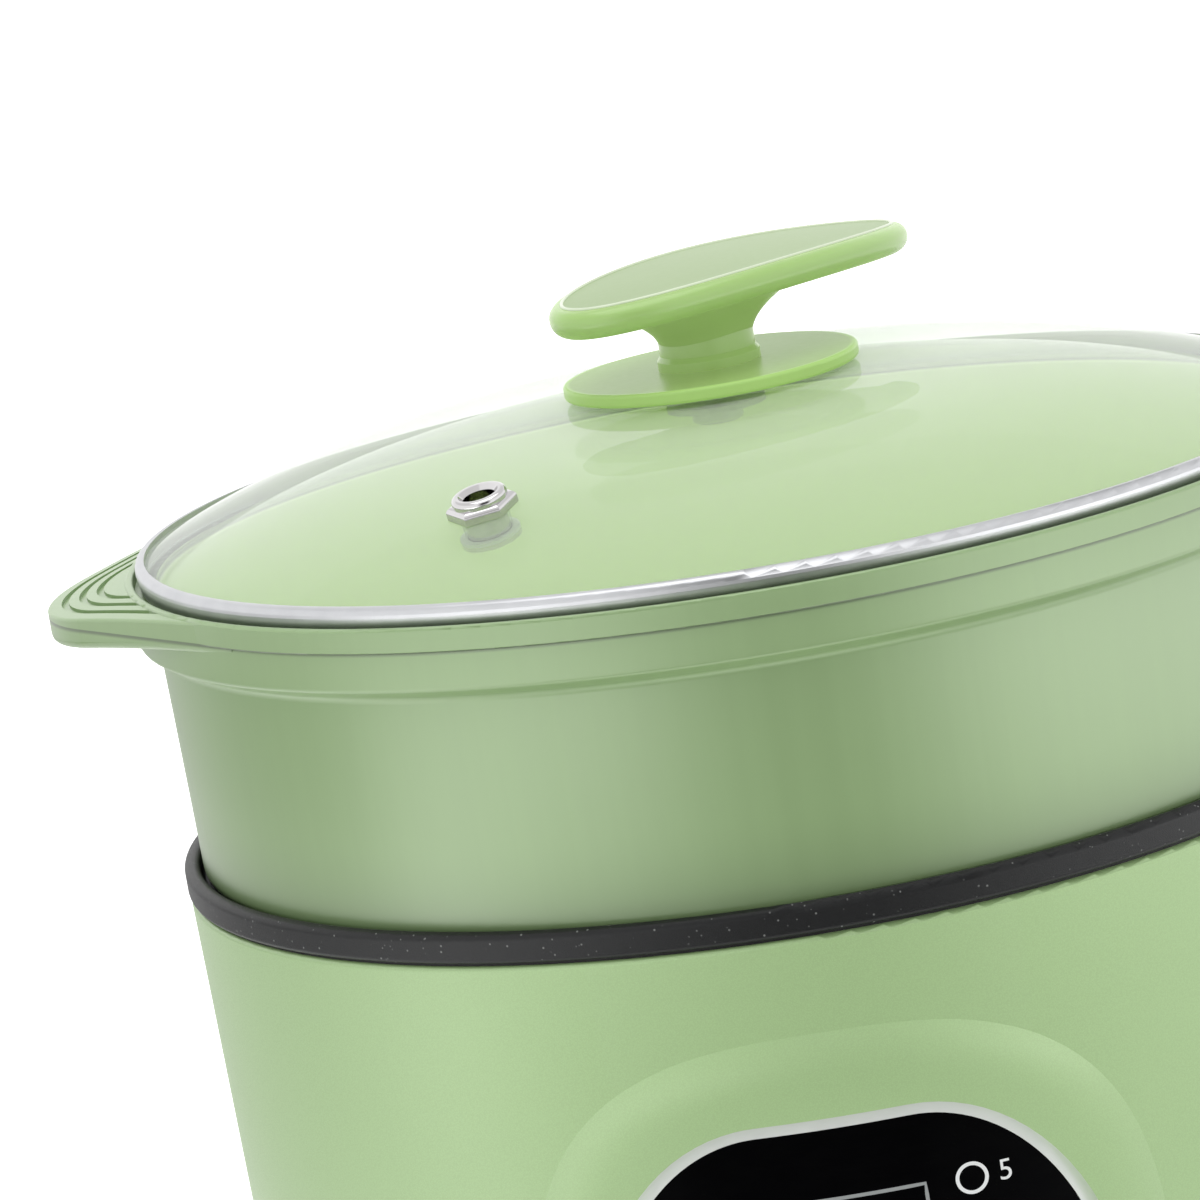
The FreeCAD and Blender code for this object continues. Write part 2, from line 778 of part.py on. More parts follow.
def spacer_sleeves():
    """Sleeves on the studs that hold the shield off the heater plate."""
    sleeves = []
    for x, y in stud_places():
        sleeve = rod(sleeve_radius, sleeve_height, x, y, shield_top)
        sleeves.append(sleeve.cut(rod(stud_radius + seat_gap, sleeve_height, x, y, shield_top)))
    return Part.makeCompound(sleeves)


def heat_shield():
    """Pressed steel dish that keeps the heat off the power board."""
    shield = turned([(0, shield_bottom), (shield_radius, shield_bottom), (shield_radius, shield_top + shield_rim),
                     (shield_radius - shield_thickness, shield_top + shield_rim),
                     (shield_radius - shield_thickness, shield_top), (0, shield_top)])
    for x, y in stud_places():
        shield = shield.cut(rod(stud_radius + seat_gap, shield_thickness, x, y, shield_bottom))
    for x, y in tube_ends():
        shield = shield.cut(rod(tube_radius + 2 * seat_gap, shield_thickness, x, y, shield_bottom))
    return shield


def hexagon(flat_width):
    """Corners of a hexagon, for plate."""
    radius = flat_width / 2 / cos(pi / 6)
    return [on_ring(radius, 60 * i) for i in range(6)]


def shield_nuts():
    """Hexagon nuts under the shield."""
    nuts = []
    for x, y in stud_places():
        nut = plate(hexagon(nut_flat_width), nut_bottom, nut_height)
        nut = nut.cut(rod(stud_radius + screw_gap, nut_height, 0, 0, nut_bottom))
        nut.translate(Vector(x, y, 0))
        nuts.append(nut)
    return Part.makeCompound(nuts)


def temperature_sensor():
    """Capsule pressed against the pot's floor through the heater plate's bore."""
    return rod(sensor_radius, sensor_height, 0, 0, pot_bottom - sensor_height)


def sensor_bracket():
    """Steel bridge under the sensor, fixed to the heater plate at both ends."""
    top = pot_bottom - sensor_height
    strap = plate(rectangle(bracket_width, bracket_length), top - bracket_thickness, bracket_thickness)
    parts = [strap]
    for side in (-1, 1):
        centre = side * (bracket_length - bracket_ends) / 2
        parts.append(plate(rectangle(bracket_width, bracket_ends, 0, centre), top - bracket_thickness,
                           plate_bottom - top + bracket_thickness))
    return fused(parts)


def thermostat():
    """Disc thermostat under the heater plate, with two blades."""
    low = plate_bottom - thermostat_height
    can = rod(thermostat_radius, thermostat_height, thermostat_x, 0, low)
    blades = []
    for side in (-1, 1):
        blades.append(plate(rectangle(blade_thickness, blade_width, thermostat_x + side * thermostat_radius, 0),
                            low + blade_width / 4, blade_width))
    return fused([can] + blades)


def thermal_fuse():
    """Fuse clipped under the heater plate, opposite the thermostat."""
    return rod(fuse_radius, fuse_length, fuse_x, -fuse_length / 2, plate_bottom - fuse_radius, Vector(0, 1, 0))


def power_board():
    """Circuit board on the base cover's posts."""
    board = plate(rectangle(board_length, board_depth, 0, board_centre_y), board_bottom, board_thickness)
    for x, y in board_screw_places():
        board = board.cut(rod(board_screw_radius + screw_gap, board_thickness, x, y, board_bottom))
    return board


def board_screws():
    """Four screws that hold the power board."""
    screws = []
    for x, y in board_screw_places():
        screws.append(screw(board_screw_radius, board_screw_length - screw_gap, 2 * board_screw_radius,
                            board_thickness, Vector(x, y, board_top), -UP))
    return Part.makeCompound(screws)


def on_board(size, centre):
    """Square-cornered part standing on the power board."""
    length, depth, tall = size
    return plate(rectangle(length, depth, centre[0], centre[1]), board_top, tall)


def transformer():
    """Small transformer: a laminated core between two winding bobbins."""
    length, depth, tall = transformer_size
    core = on_board(transformer_size, transformer_place)
    bobbin = plate(rectangle(length * 0.6, depth * 1.2, transformer_place[0], transformer_place[1], depth / 8),
                   board_top, tall * 0.85)
    return fused([core, bobbin])


def capacitor():
    """Capacitor lying on the power board."""
    x, y = capacitor_place
    return rod(capacitor_radius, capacitor_length, x, y - capacitor_length / 2, board_top + capacitor_radius,
               Vector(0, 1, 0))


def power_inlet():
    """Moulded inlet for a detachable cord: a flange outside, a deep socket inside."""
    flange = facing_y(rectangle(inlet_flange_width, inlet_flange_tall, 0, inlet_height, inlet_round),
                      inlet_seat_y(), inlet_face_y())
    box = facing_y(rectangle(inlet_width, inlet_tall, 0, inlet_height, inlet_round),
                   inlet_face_y() - inlet_depth, inlet_face_y())
    socket = facing_y(rectangle(inlet_width - 2 * inlet_wall, inlet_tall - 2 * inlet_wall, 0, inlet_height,
                                inlet_round - inlet_wall / 2),
                      inlet_face_y() - inlet_depth + inlet_back, inlet_face_y())
    inlet = fused([flange, box]).cut(socket)
    for x, z in pin_places():
        inlet = inlet.cut(facing_y(rectangle(pin_width, pin_tall, x, z), inlet_face_y() - inlet_depth,
                                   inlet_face_y() - inlet_depth + inlet_back))
    for x in (-inlet_screw_x, inlet_screw_x):
        inlet = inlet.cut(rod(inlet_screw_radius + screw_gap, inlet_flange, x, inlet_seat_y(), inlet_height,
                              Vector(0, 1, 0)))
    return inlet


def pin_places():
    """(x, z) of the inlet's three pins: earth in the middle, a little higher."""
    low = inlet_height - pin_drop
    return [(-pin_spacing, low), (0, inlet_height + pin_drop), (pin_spacing, low)]


def inlet_pins():
    """Three flat pins through the inlet's back wall."""
    back = inlet_face_y() - inlet_depth
    pins = [facing_y(rectangle(pin_width, pin_tall, x, z), back - pin_tail, back + inlet_back + pin_length)
            for x, z in pin_places()]
    return Part.makeCompound(pins)


def inlet_screws():
    """Two screws that hold the inlet's flange."""
    screws = []
    for x in (-inlet_screw_x, inlet_screw_x):
        screws.append(screw(inlet_screw_radius, inlet_screw_length, 1.8 * inlet_screw_radius, inlet_screw_head,
                            Vector(x, inlet_face_y(), inlet_height), Vector(0, -1, 0)))
    return Part.makeCompound(screws)


def panel_bezel():
    """Frame round the panel, with a ledge behind the glass."""
    glass_back = glass_face_depth + glass_thickness
    frame = panel_prism(0).common(coned(bezel_face_depth)).cut(coned(pocket_depth - fit_gap))
    frame = frame.cut(panel_prism(bezel_width).cut(coned(glass_back)))
    return frame.cut(panel_prism(bezel_width + bezel_ledge))


def panel_glass():
    """Curved black panel that follows the body's wall."""
    sheet = coned(glass_face_depth).cut(coned(glass_face_depth + glass_thickness))
    return panel_prism(bezel_width + fit_gap).common(sheet)


def display_board():
    """Circuit board behind the panel."""
    board = facing_y(rectangle(display_board_width, display_board_tall, 0, panel_height),
                     -display_board_plane, board_thickness - display_board_plane)
    for x, z in display_screw_places():
        board = board.cut(rod(display_screw_radius + screw_gap, board_thickness, x, -display_board_plane, z,
                              Vector(0, 1, 0)))
    return board


def glass_back_y(x, z):
    """Back of the panel glass at (x, z)."""
    radius = body_radius(z) - glass_face_depth - glass_thickness
    return -sqrt(radius ** 2 - x ** 2)


def display_module():
    """Number display on the display board, just behind the glass."""
    z = panel_height + module_centre
    front = glass_back_y(module_width / 2, z - module_tall / 2) + module_gap
    return facing_y(rectangle(module_width, module_tall, 0, z), front, -display_board_plane)


def indicator_leds():
    """Small lights on the display board, one behind each ring of the panel."""
    lights = [facing_y(rectangle(light_size, light_size, x, z), -display_board_plane - light_size / 2,
                       -display_board_plane) for x, z in icon_places()]
    return Part.makeCompound(lights)


def touch_springs():
    """Springs that join the board to the touch places of the glass."""
    springs = []
    for x, z in touch_places():
        front = glass_back_y(abs(x) + touch_radius, z - touch_radius) + fit_gap
        length = -display_board_plane - front
        sleeve = rod(touch_radius, length, x, front, z, Vector(0, 1, 0))
        springs.append(sleeve.cut(rod(touch_radius - touch_wall, length, x, front, z, Vector(0, 1, 0))))
    return Part.makeCompound(springs)


def display_screws():
    """Four screws that hold the display board to the shell."""
    back = board_thickness - display_board_plane
    screws = []
    for x, z in display_screw_places():
        screws.append(screw(display_screw_radius, board_thickness + display_screw_length - display_screw_tail
                            - screw_gap, 2 * display_screw_radius, display_screw_head, Vector(x, back, z),
                            Vector(0, -1, 0)))
    return Part.makeCompound(screws)


def handle_start():
    """Point of the handle's axis on the body wall."""
    return Vector(body_radius(handle_height), 0, handle_height)


def ellipse_wire(centre, half_y, half_z):
    """Ellipse across the X direction."""
    if half_y >= half_z:
        ellipse = Part.Ellipse(centre + Vector(0, half_y, 0), centre + Vector(0, 0, half_z), centre)
    else:
        ellipse = Part.Ellipse(centre + Vector(0, 0, half_z), centre + Vector(0, half_y, 0), centre)
    return Part.Wire(ellipse.toShape())


def handle_loft(inset, first, last):
    """Smooth grip through the handle's sections, from first to last along its axis."""
    wires = []
    for along, half_y, half_z in handle_sections:
        centre = handle_start() + Vector(along, 0, along * tan(radians(handle_slope)))
        wires.append(ellipse_wire(centre, half_y - inset, half_z - inset))
    grip = Part.makeLoft(wires, True)
    start = handle_start().x
    keep = Part.makeBox(last - first, body_top_radius, body_top_radius,
                        Vector(start + first, -body_top_radius / 2, handle_height - body_top_radius / 2))
    return grip.common(keep)


def handle_half(upper):
    """One half of the handle, hollow, with a solid root and bosses for the grip screws."""
    end = handle_sections[-1][0]
    grip = handle_loft(0, handle_sections[0][0], end)
    hollow = handle_loft(handle_wall, handle_solid_root, end - handle_wall)
    bosses = []
    for along in grip_screw_places:
        foot = handle_start() + Vector(along, 0, along * tan(radians(handle_slope)))
        bosses.append(rod(grip_boss_radius, body_top_radius / 2, foot.x, 0, foot.z - body_top_radius / 4))
    bosses = fused(bosses).common(grip)
    grip = grip.cut(hollow).fuse(bosses).removeSplitter()
    size = 2 * body_top_radius
    half_space = Part.makeBox(size, size, size, Vector(-body_top_radius / 2, -body_top_radius, 0))
    if not upper:
        half_space.translate(Vector(0, 0, -size))
    half_space.rotate(AXIS, Vector(0, 1, 0), -handle_slope)
    half_space.translate(handle_start())
    grip = grip.common(half_space).cut(coned(-fit_gap))
    z = handle_screw_heights()[1 if upper else 0]
    grip = grip.cut(rod(handle_screw_radius + screw_gap, handle_screw_length, handle_pad_x(), 0, z,
                        Vector(1, 0, 0)))
    for place in grip_screw_seats():
        grip = grip.cut(rod(grip_screw_radius + screw_gap, grip_screw_length, place.x, 0, place.z))
        if not upper:
            grip = grip.cut(rod(2 * grip_screw_radius + fit_gap, body_top_radius / 2, place.x, 0,
                                place.z - body_top_radius / 2))
    return grip


def grip_screw_seats():
    """Where the heads of the two screws that join the halves sit."""
    seats = []
    for along in grip_screw_places:
        middle = handle_start() + Vector(along, 0, along * tan(radians(handle_slope)))
        seats.append(middle - UP * grip_screw_length / 2)
    return seats


def grip_screws():
    """Two screws from below that join the handle's halves."""
    return Part.makeCompound([screw(grip_screw_radius, grip_screw_length - screw_gap, 2 * grip_screw_radius,
                                    screw_head_height, place, UP) for place in grip_screw_seats()])


def handle_screws():
    """Two screws from inside the shell into the handle's solid root."""
    return Part.makeCompound([screw(handle_screw_radius, handle_screw_length - screw_gap,
                                    1.8 * handle_screw_radius, screw_head_height,
                                    Vector(handle_pad_x(), 0, z), Vector(1, 0, 0))
                              for z in handle_screw_heights()])


def wire(points, radius, bend):
    """Round wire along straight runs joined by arcs."""
    path = []
    last = points[0]
    for before, corner, after in zip(points, points[1:], points[2:]):
        back = (before - corner).normalize()
        on = (after - corner).normalize()
        half = acos(max(-1.0, min(1.0, back.dot(on)))) / 2
        reach = bend / tan(half)
        middle = corner + (back + on).normalize() * (bend / sin(half) - bend)
        path.append(Part.makeLine(last, corner + back * reach))
        last = corner + on * reach
        path.append(Part.Arc(corner + back * reach, middle, last).toShape())
    path.append(Part.makeLine(last, points[-1]))
    section = Part.Wire(Part.makeCircle(radius, points[0], points[1] - points[0]))
    return Part.Wire(path).makePipeShell([section], True, False)


def mains_wires():
    """Three wires from the inlet's pins to the terminal block."""
    tail = inlet_face_y() - inlet_depth - pin_tail
    wires = []
    block_x, block_y = terminal_place
    wire_z = board_top + terminal_size[2] / 3
    drop_y = tail - mains_wire_bend - seat_gap
    for i, (x, z) in enumerate(pin_places()):
        end_x = block_x + (i - 1) * terminal_size[0] / 3
        end_y = block_y + terminal_size[1] / 2
        points = [Vector(x, tail, z), Vector(x, drop_y, z), Vector(x, drop_y, wire_z),
                  Vector(end_x, end_y + 2 * mains_wire_bend, wire_z), Vector(end_x, end_y, wire_z)]
        wires.append(wire(points, mains_wire_radius, mains_wire_bend))
    return Part.makeCompound(wires)


def heater_wires():
    """Two wires from the element's ends down to the power board."""
    wires = []
    for x, y in tube_ends():
        top = plate_bottom - tube_end_height
        middle = (top + board_top) / 2
        inner = board_centre_y + board_depth / 2 - 2 * board_screw_inset
        points = [Vector(x, y, top), Vector(x, y, middle), Vector(x, inner, middle), Vector(x, inner, board_top)]
        wires.append(wire(points, heater_wire_radius, heater_wire_bend))
    return Part.makeCompound(wires)


def display_cable():
    """Cable from the power board to the display board."""
    start = board_centre_y - board_depth / 2 + board_screw_inset
    back = board_thickness - display_board_plane
    low = board_top + 2 * display_cable_bend
    high = panel_height - display_board_tall / 2 + 2 * display_cable_bend
    rise = back + 2 * display_cable_bend
    points = [Vector(0, start, board_top), Vector(0, start, low), Vector(0, rise, low), Vector(0, rise, high),
              Vector(0, back, high)]
    return wire(points, display_cable_radius, display_cable_bend)


def lug():
    """One side lug of the tray: a drooping rounded triangle with nested grooves, pointing along +X."""
    half_angle = asin(lug_side_distance / lug_tip)
    root_x = lug_side_distance * sin(half_angle)
    root_y = lug_side_distance * cos(half_angle)
    inner = rebate_radius + lip_width / 3
    start = root_x - lug_thickness
    outer = lug_tip + lug_thickness
    low = lug_top_height(outer) - 2 * lug_thickness
    tall = lug_top_height(start) + lug_thickness - low

    def outline(inset):
        base = root_y - inset / cos(half_angle)
        tip = lug_tip - inset / sin(half_angle)
        return plate([(root_x, -base), (tip, 0, lug_tip_round - inset), (root_x, base)], low, tall)

    def sheet(bottom_drop, top_drop):
        ring = turned([(start, lug_top_height(start) - top_drop), (outer, lug_top_height(outer) - top_drop),
                       (outer, lug_top_height(outer) - bottom_drop),
                       (start, lug_top_height(start) - bottom_drop)])
        ring.rotate(AXIS, UP, 180)
        return ring

    body = sheet(lug_thickness, 0).common(outline(0))
    for size, upper in ((lug_top_round, True), (lug_under_round, False)):
        rims = []
        for edge in body.Edges:
            point = edge.CenterOfMass
            side = (lug_tip - point.x) * sin(half_angle) - abs(point.y) * cos(half_angle)
            on_outline = point.x > root_x + lug_thickness and (side < lug_under_round or abs(point.y) < seat_gap)
            middle = lug_top_height(sqrt(point.x ** 2 + point.y ** 2)) - lug_thickness / 2
            if edge.Length > 2 * lug_thickness and on_outline and (point.z > middle) == upper:
                rims.append(edge)
        body = body.makeFillet(size, rims)
    for inset in lug_grooves:
        ring = outline(inset).cut(outline(inset + lug_groove_width))
        body = body.cut(ring.common(sheet(lug_groove_depth, -lug_thickness / 2)))
    return body.cut(rod(inner, tall, 0, 0, low))


def lug_top_height(radius):
    """Height of the lug's sloping top at a distance from the tray's axis."""
    return lip_top - lug_step - (radius - rebate_radius) * tan(radians(lug_droop))


def steamer_tray():
    """Moulded steamer tray: slotted floor, leaning wall, stepped flange with a seat for the lid, two lugs."""
    lean = tan(radians(tray_draft))
    under_low = lip_top - flange_height - flange_under
    band_low = lip_top - flange_band
    wall_high = tray_foot_radius + (under_low - tray_bottom) * lean
    inner_high = tray_foot_radius + (rebate_floor - tray_bottom) * lean - tray_wall
    floor_top = tray_bottom + tray_floor
    inner_low = tray_foot_radius + tray_floor * lean - tray_wall
    band_radius = flange_radius - flange_step
    bowl = turned([(0, tray_bottom), (tray_foot_radius, tray_bottom, tray_corner), (wall_high, under_low, flange_root_round),
                   (band_radius, under_low + flange_under, flange_under_round), (band_radius, band_low),
                   (flange_radius, band_low, flange_step / 2), (flange_radius, lip_top, lip_round),
                   (rebate_radius, lip_top, lip_round), (rebate_radius, rebate_floor, lip_round / 2),
                   (inner_high, rebate_floor, lip_round), (inner_low, floor_top, tray_inner_corner),
                   (0, floor_top)])
    out = drip_rib_radius + drip_rib_width / 2
    rib = turned([(out, tray_bottom), (out, tray_bottom - drip_rib_height),
                  (out - drip_rib_width, tray_bottom - drip_rib_height), (out - drip_rib_width, tray_bottom)])
    tray = fused([bowl, rib])
    slots = []
    for count, radius in zip(steam_row_counts, steam_row_radii):
        for i in range(count):
            slot = plate(rectangle(steam_slot_length, steam_slot_width, radius, 0, steam_slot_width / 2.1),
                         tray_bottom - seat_gap, tray_floor + 2 * seat_gap)
            slot.rotate(AXIS, UP, 360 * i / count)
            slots.append(slot)
    tray = tray.cut(Part.makeCompound(slots))
    for turn in (lug_turn, lug_turn + 180):
        ear = lug()
        ear.rotate(AXIS, UP, turn)
        tray = tray.fuse(ear)
    return tray.removeSplitter()


def lid_ring():
    """Rolled steel rim that wraps the edge of the glass."""
    inner = ring_radius - ring_sheet
    return turned([(ring_radius - ring_lean, ring_bottom, ring_under_round),
                   (ring_radius, ring_top - ring_waist), (ring_radius, ring_top, ring_top_round),
                   (dome_edge_radius, ring_top), (dome_edge_radius, glass_edge_top),
                   (inner, glass_edge_top, ring_top_round - ring_sheet), (inner, glass_edge_bottom),
                   (ring_radius - ring_under_width, glass_edge_bottom),
                   (ring_radius - ring_under_width, ring_bottom)])


def dome_height(distance, depth=0):
    """Height of the dome at a distance from the axis, or of the face that lies depth inside it."""
    crown = crown_radius - depth
    if distance <= crown * sin(crown_lean):
        return crown_centre + sqrt(crown ** 2 - distance ** 2)
    return shoulder_centre + sqrt((shoulder_radius - depth) ** 2 - (distance - shoulder_offset) ** 2)


def dome_arcs(depth, edge_radius):
    """Crown and shoulder arcs of the dome's section, from the axis out to edge_radius."""
    meeting = (crown_radius - depth) * sin(crown_lean)
    arcs = []
    for inner, outer in ((0, meeting), (meeting, edge_radius)):
        middle = (inner + outer) / 2
        points = [Vector(r, 0, dome_height(r, depth)) for r in (inner, middle, outer)]
        arcs.append(Part.Arc(*points).toShape())
    return arcs


def vent_centre():
    """Point where the vent's axis meets the dome's outer face, and the dome's normal there."""
    angle = radians(vent_turn)
    x = -vent_distance * sin(angle)
    y = -vent_distance * cos(angle)
    point = Vector(x, y, dome_height(vent_distance))
    inward = Vector(-sin(angle), -cos(angle), 0) * shoulder_offset + Vector(0, 0, shoulder_centre)
    return point, (point - inward).normalize()


def at_vent(shape):
    """Moves a shape built along +Z from the origin to the vent."""
    point, normal = vent_centre()
    shape.Placement = FreeCAD.Placement(point, FreeCAD.Rotation(UP, normal))
    return shape


def lid_glass():
    """Domed glass with a hole for the knob's screw and one for the vent."""
    under = shoulder_radius - lid_glass_thickness
    under_edge = shoulder_offset + sqrt(under ** 2 - (glass_edge_bottom - shoulder_centre) ** 2)
    upper_crown, upper_shoulder = dome_arcs(0, dome_edge_radius)
    lower_crown, lower_shoulder = dome_arcs(lid_glass_thickness, under_edge)
    rim = [Vector(dome_edge_radius, 0, glass_edge_top), Vector(glass_radius, 0, glass_edge_top),
           Vector(glass_radius, 0, glass_edge_bottom), Vector(under_edge, 0, glass_edge_bottom)]
    edges = [upper_crown, upper_shoulder] + [Part.makeLine(a, b) for a, b in zip(rim, rim[1:])]
    edges += [lower_shoulder, lower_crown, Part.makeLine(Vector(0, 0, dome_under), Vector(0, 0, dome_top))]
    profile = Part.Wire(edges)
    glass = Part.Face(profile).revolve(AXIS, UP, 360)
    rims = [e for e in glass.Edges if abs(e.Length - 2 * pi * glass_radius) < fit_gap]
    glass = glass.makeFillet(glass_edge_round, rims)
    glass = glass.cut(rod(knob_screw_bore, 3 * lid_glass_thickness, 0, 0, dome_under - lid_glass_thickness))
    hole = rod(vent_tube_radius + vent_hole_gap, 3 * lid_glass_thickness, 0, 0, -2 * lid_glass_thickness)
    return glass.cut(at_vent(hole))


def vent_eyelet():
    """Steel eyelet: a hexagon and a round collar above the glass, a tube through it, a flange below."""
    hexagon_plate = plate(hexagon(vent_flat_width), 0, vent_hex_height)
    top_edges = [e for e in hexagon_plate.Edges if e.BoundBox.ZMin > vent_hex_height / 2]
    hexagon_plate = hexagon_plate.makeFillet(vent_hex_round, top_edges)
    collar_top = vent_hex_height + vent_collar_height
    collar = turned([(0, 0), (vent_collar_radius, 0), (vent_collar_radius, collar_top, vent_collar_round),
                     (0, collar_top)])
    under_top = -lid_glass_thickness - vent_washer_height - fit_gap
    tube = rod(vent_tube_radius, vent_hex_height - under_top, 0, 0, under_top)
    flange = rod(vent_under_radius, vent_under_height, 0, 0, under_top - vent_under_height)
    eyelet = fused([hexagon_plate, collar, tube, flange])
    bore = turned([(0, under_top - 2 * vent_under_height), (vent_bore, under_top - 2 * vent_under_height),
                   (vent_bore, collar_top - vent_collar_round), (vent_bore + vent_collar_round, collar_top + vent_mouth),
                   (0, collar_top + vent_mouth)])
    return at_vent(eyelet.cut(bore))


def vent_washer():
    """Silicone washer between the glass and the eyelet's lower flange."""
    top = -lid_glass_thickness - fit_gap
    washer = rod(vent_under_radius, vent_washer_height, 0, 0, top - vent_washer_height)
    return at_vent(washer.cut(rod(vent_tube_radius + fit_gap, vent_washer_height, 0, 0, top - vent_washer_height)))


def knob_gasket():
    """Silicone ring that fills the space between the dome and the knob's flat disc."""
    gap = fit_gap / 3
    inner = knob_screw_bore
    high = dome_height(inner) + gap
    low = dome_height(gasket_radius) + gap
    half = gasket_radius / 2
    arc = Part.Arc(Vector(inner, 0, high), Vector(half, 0, dome_height(half) + gap),
                   Vector(gasket_radius, 0, low))
    corners = [Vector(gasket_radius, 0, low), Vector(gasket_radius, 0, disc_bottom),
               Vector(inner, 0, disc_bottom), Vector(inner, 0, high)]
    edges = [arc.toShape()] + [Part.makeLine(a, b) for a, b in zip(corners, corners[1:])]
    return Part.Face(Part.Wire(edges)).revolve(AXIS, UP, 360)


def knob_base():
    """Flat round disc between the gasket and the grip."""
    disc = turned([(0, disc_bottom), (knob_disc_radius, disc_bottom, knob_disc_round),
                   (knob_disc_radius, disc_top, knob_disc_round), (0, disc_top)])
    return disc.cut(rod(knob_screw_radius + screw_gap, knob_disc_height, 0, 0, disc_bottom))


def grip_column(inset, bottom):
    """Upright elliptic column of the grip's outline, before it is turned to its direction."""
    centre = Vector(knob_shift, 0, bottom)
    outline = Part.Wire(Part.Ellipse(centre + Vector(knob_length / 2 - inset, 0, 0),
                                     centre + Vector(0, knob_width / 2 - inset, 0), centre).toShape())
    return Part.Face(outline).extrude(UP * (grip_top + seat_gap - bottom))


def grip_ball(depth):
    """Large ball whose top is the grip's arched top, or the face that lies depth below it."""
    radius = ((knob_length / 2) ** 2 + knob_arch ** 2) / (2 * knob_arch)
    ball = Part.makeSphere(radius - depth)
    ball.rotate(AXIS, Vector(1, 0, 0), 90)
    ball.translate(Vector(knob_shift, 0, grip_top - radius))
    return ball


def knob_body():
    """Neck and arched leaf-shaped grip, moulded in one piece, with a shallow seat for the insert."""
    board = grip_column(0, grip_bottom - 2 * knob_arch).common(grip_ball(0)).cut(grip_ball(knob_thickness))
    middle = grip_bottom + knob_under_round / 2
    low_edges = [e for e in board.Edges if e.BoundBox.ZMax < middle]
    board = board.makeFillet(knob_under_round, low_edges)
    high_edges = [e for e in board.Edges if e.BoundBox.ZMin > middle]
    board = board.makeFillet(knob_top_round, high_edges)
    collar_end = disc_top + 1.5 * knob_collar_height
    neck = turned([(0, disc_top), (knob_collar_radius, disc_top), (knob_collar_radius, disc_top + knob_collar_height),
                   (knob_neck_radius, collar_end), (knob_neck_radius, grip_bottom), (0, grip_bottom)])
    wires = []
    for i in range(knob_flare_steps + 1):
        share = i / knob_flare_steps
        centre = Vector(0, 0, grip_bottom - knob_flare_height * (1 - share) + seat_gap)
        half_x = knob_neck_radius - seat_gap / 2 + knob_flare_length * share ** 2
        half_y = knob_neck_radius - seat_gap + knob_flare_width * share ** 2
        wires.append(Part.Wire(Part.Ellipse(centre + Vector(half_x, 0, 0),
                                            centre + Vector(0, half_y, 0), centre).toShape()))
    flare = Part.makeLoft(wires, True)
    knob = fused([board, neck, flare])
    knob = knob.cut(grip_column(insert_inset, insert_bottom))
    knob = knob.cut(rod(knob_screw_radius + screw_gap, knob_screw_reach(), 0, 0, disc_top))
    knob.rotate(AXIS, UP, knob_turn)
    return knob


def knob_screw_reach():
    """How far the knob's screw goes into the neck."""
    return screw_seat() + knob_screw_length - disc_top


def knob_insert():
    """Pale insert glued into the top of the grip."""
    insert = grip_column(insert_inset + fit_gap / 2, insert_bottom).common(grip_ball(0))
    insert.rotate(AXIS, UP, knob_turn)
    return insert


def screw_seat():
    """Height where the knob screw's head meets its washer."""
    return dome_under - fit_gap - knob_washer_height


def knob_washer():
    """Steel washer under the glass."""
    washer = rod(knob_washer_radius, knob_washer_height, 0, 0, screw_seat())
    return washer.cut(rod(knob_screw_radius + screw_gap, knob_washer_height, 0, 0, screw_seat()))


def knob_screw():
    """Screw from below the glass into the knob's neck."""
    return screw(knob_screw_radius, knob_screw_length - screw_gap, knob_head_radius, knob_head_height,
                 Vector(0, 0, screw_seat()), UP)


os.makedirs("parts", exist_ok=True)
write("body_shell", body_shell())
write("base_plate", base_plate())
write("rubber_feet", rubber_feet())
write("base_screws", base_screws())
write("rim_seal", rim_seal())
write("inner_pot", inner_pot())
write("pot_studs", pot_studs())
write("heater_plate", heater_plate())
write("heating_element", heating_element())
write("spacer_sleeves", spacer_sleeves())
write("heat_shield", heat_shield())
write("shield_nuts", shield_nuts())
write("temperature_sensor", temperature_sensor())
write("sensor_bracket", sensor_bracket())
write("thermostat", thermostat())
write("thermal_fuse", thermal_fuse())
write("power_board", power_board())
write("board_screws", board_screws())
write("relay", on_board(relay_size, relay_place))
write("transformer", transformer())
write("capacitor", capacitor())
write("terminal_block", on_board(terminal_size, terminal_place))
write("power_inlet", power_inlet())
write("inlet_pins", inlet_pins())
write("inlet_screws", inlet_screws())
write("panel_bezel", panel_bezel())
write("panel_glass", panel_glass())
write("display_board", display_board())
write("display_module", display_module())
write("indicator_leds", indicator_leds())
write("touch_springs", touch_springs())
write("display_screws", display_screws())
write("handle_upper", handle_half(True))
write("handle_lower", handle_half(False))
write("handle_screws", handle_screws())
write("grip_screws", grip_screws())
write("mains_wires", mains_wires())
write("heater_wires", heater_wires())
write("display_cable", display_cable())
write("steamer_tray", steamer_tray())
write("lid_glass", lid_glass())
write("lid_ring", lid_ring())
write("vent_eyelet", vent_eyelet())
write("vent_washer", vent_washer())
write("knob_gasket", knob_gasket())
write("knob_base", knob_base())
write("knob_body", knob_body())
write("knob_insert", knob_insert())
write("knob_washer", knob_washer())
write("knob_screw", knob_screw())
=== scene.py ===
"""Electric hot pot with steamer tray and glass lid: finishes, print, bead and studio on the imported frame.

Metres, Z up, the pot's axis is Z, the feet stand on Z = 0 and the control panel faces -Y.
"""

from math import cos, pi, radians, sin

import bmesh
import bpy
from mathutils import Matrix, Vector


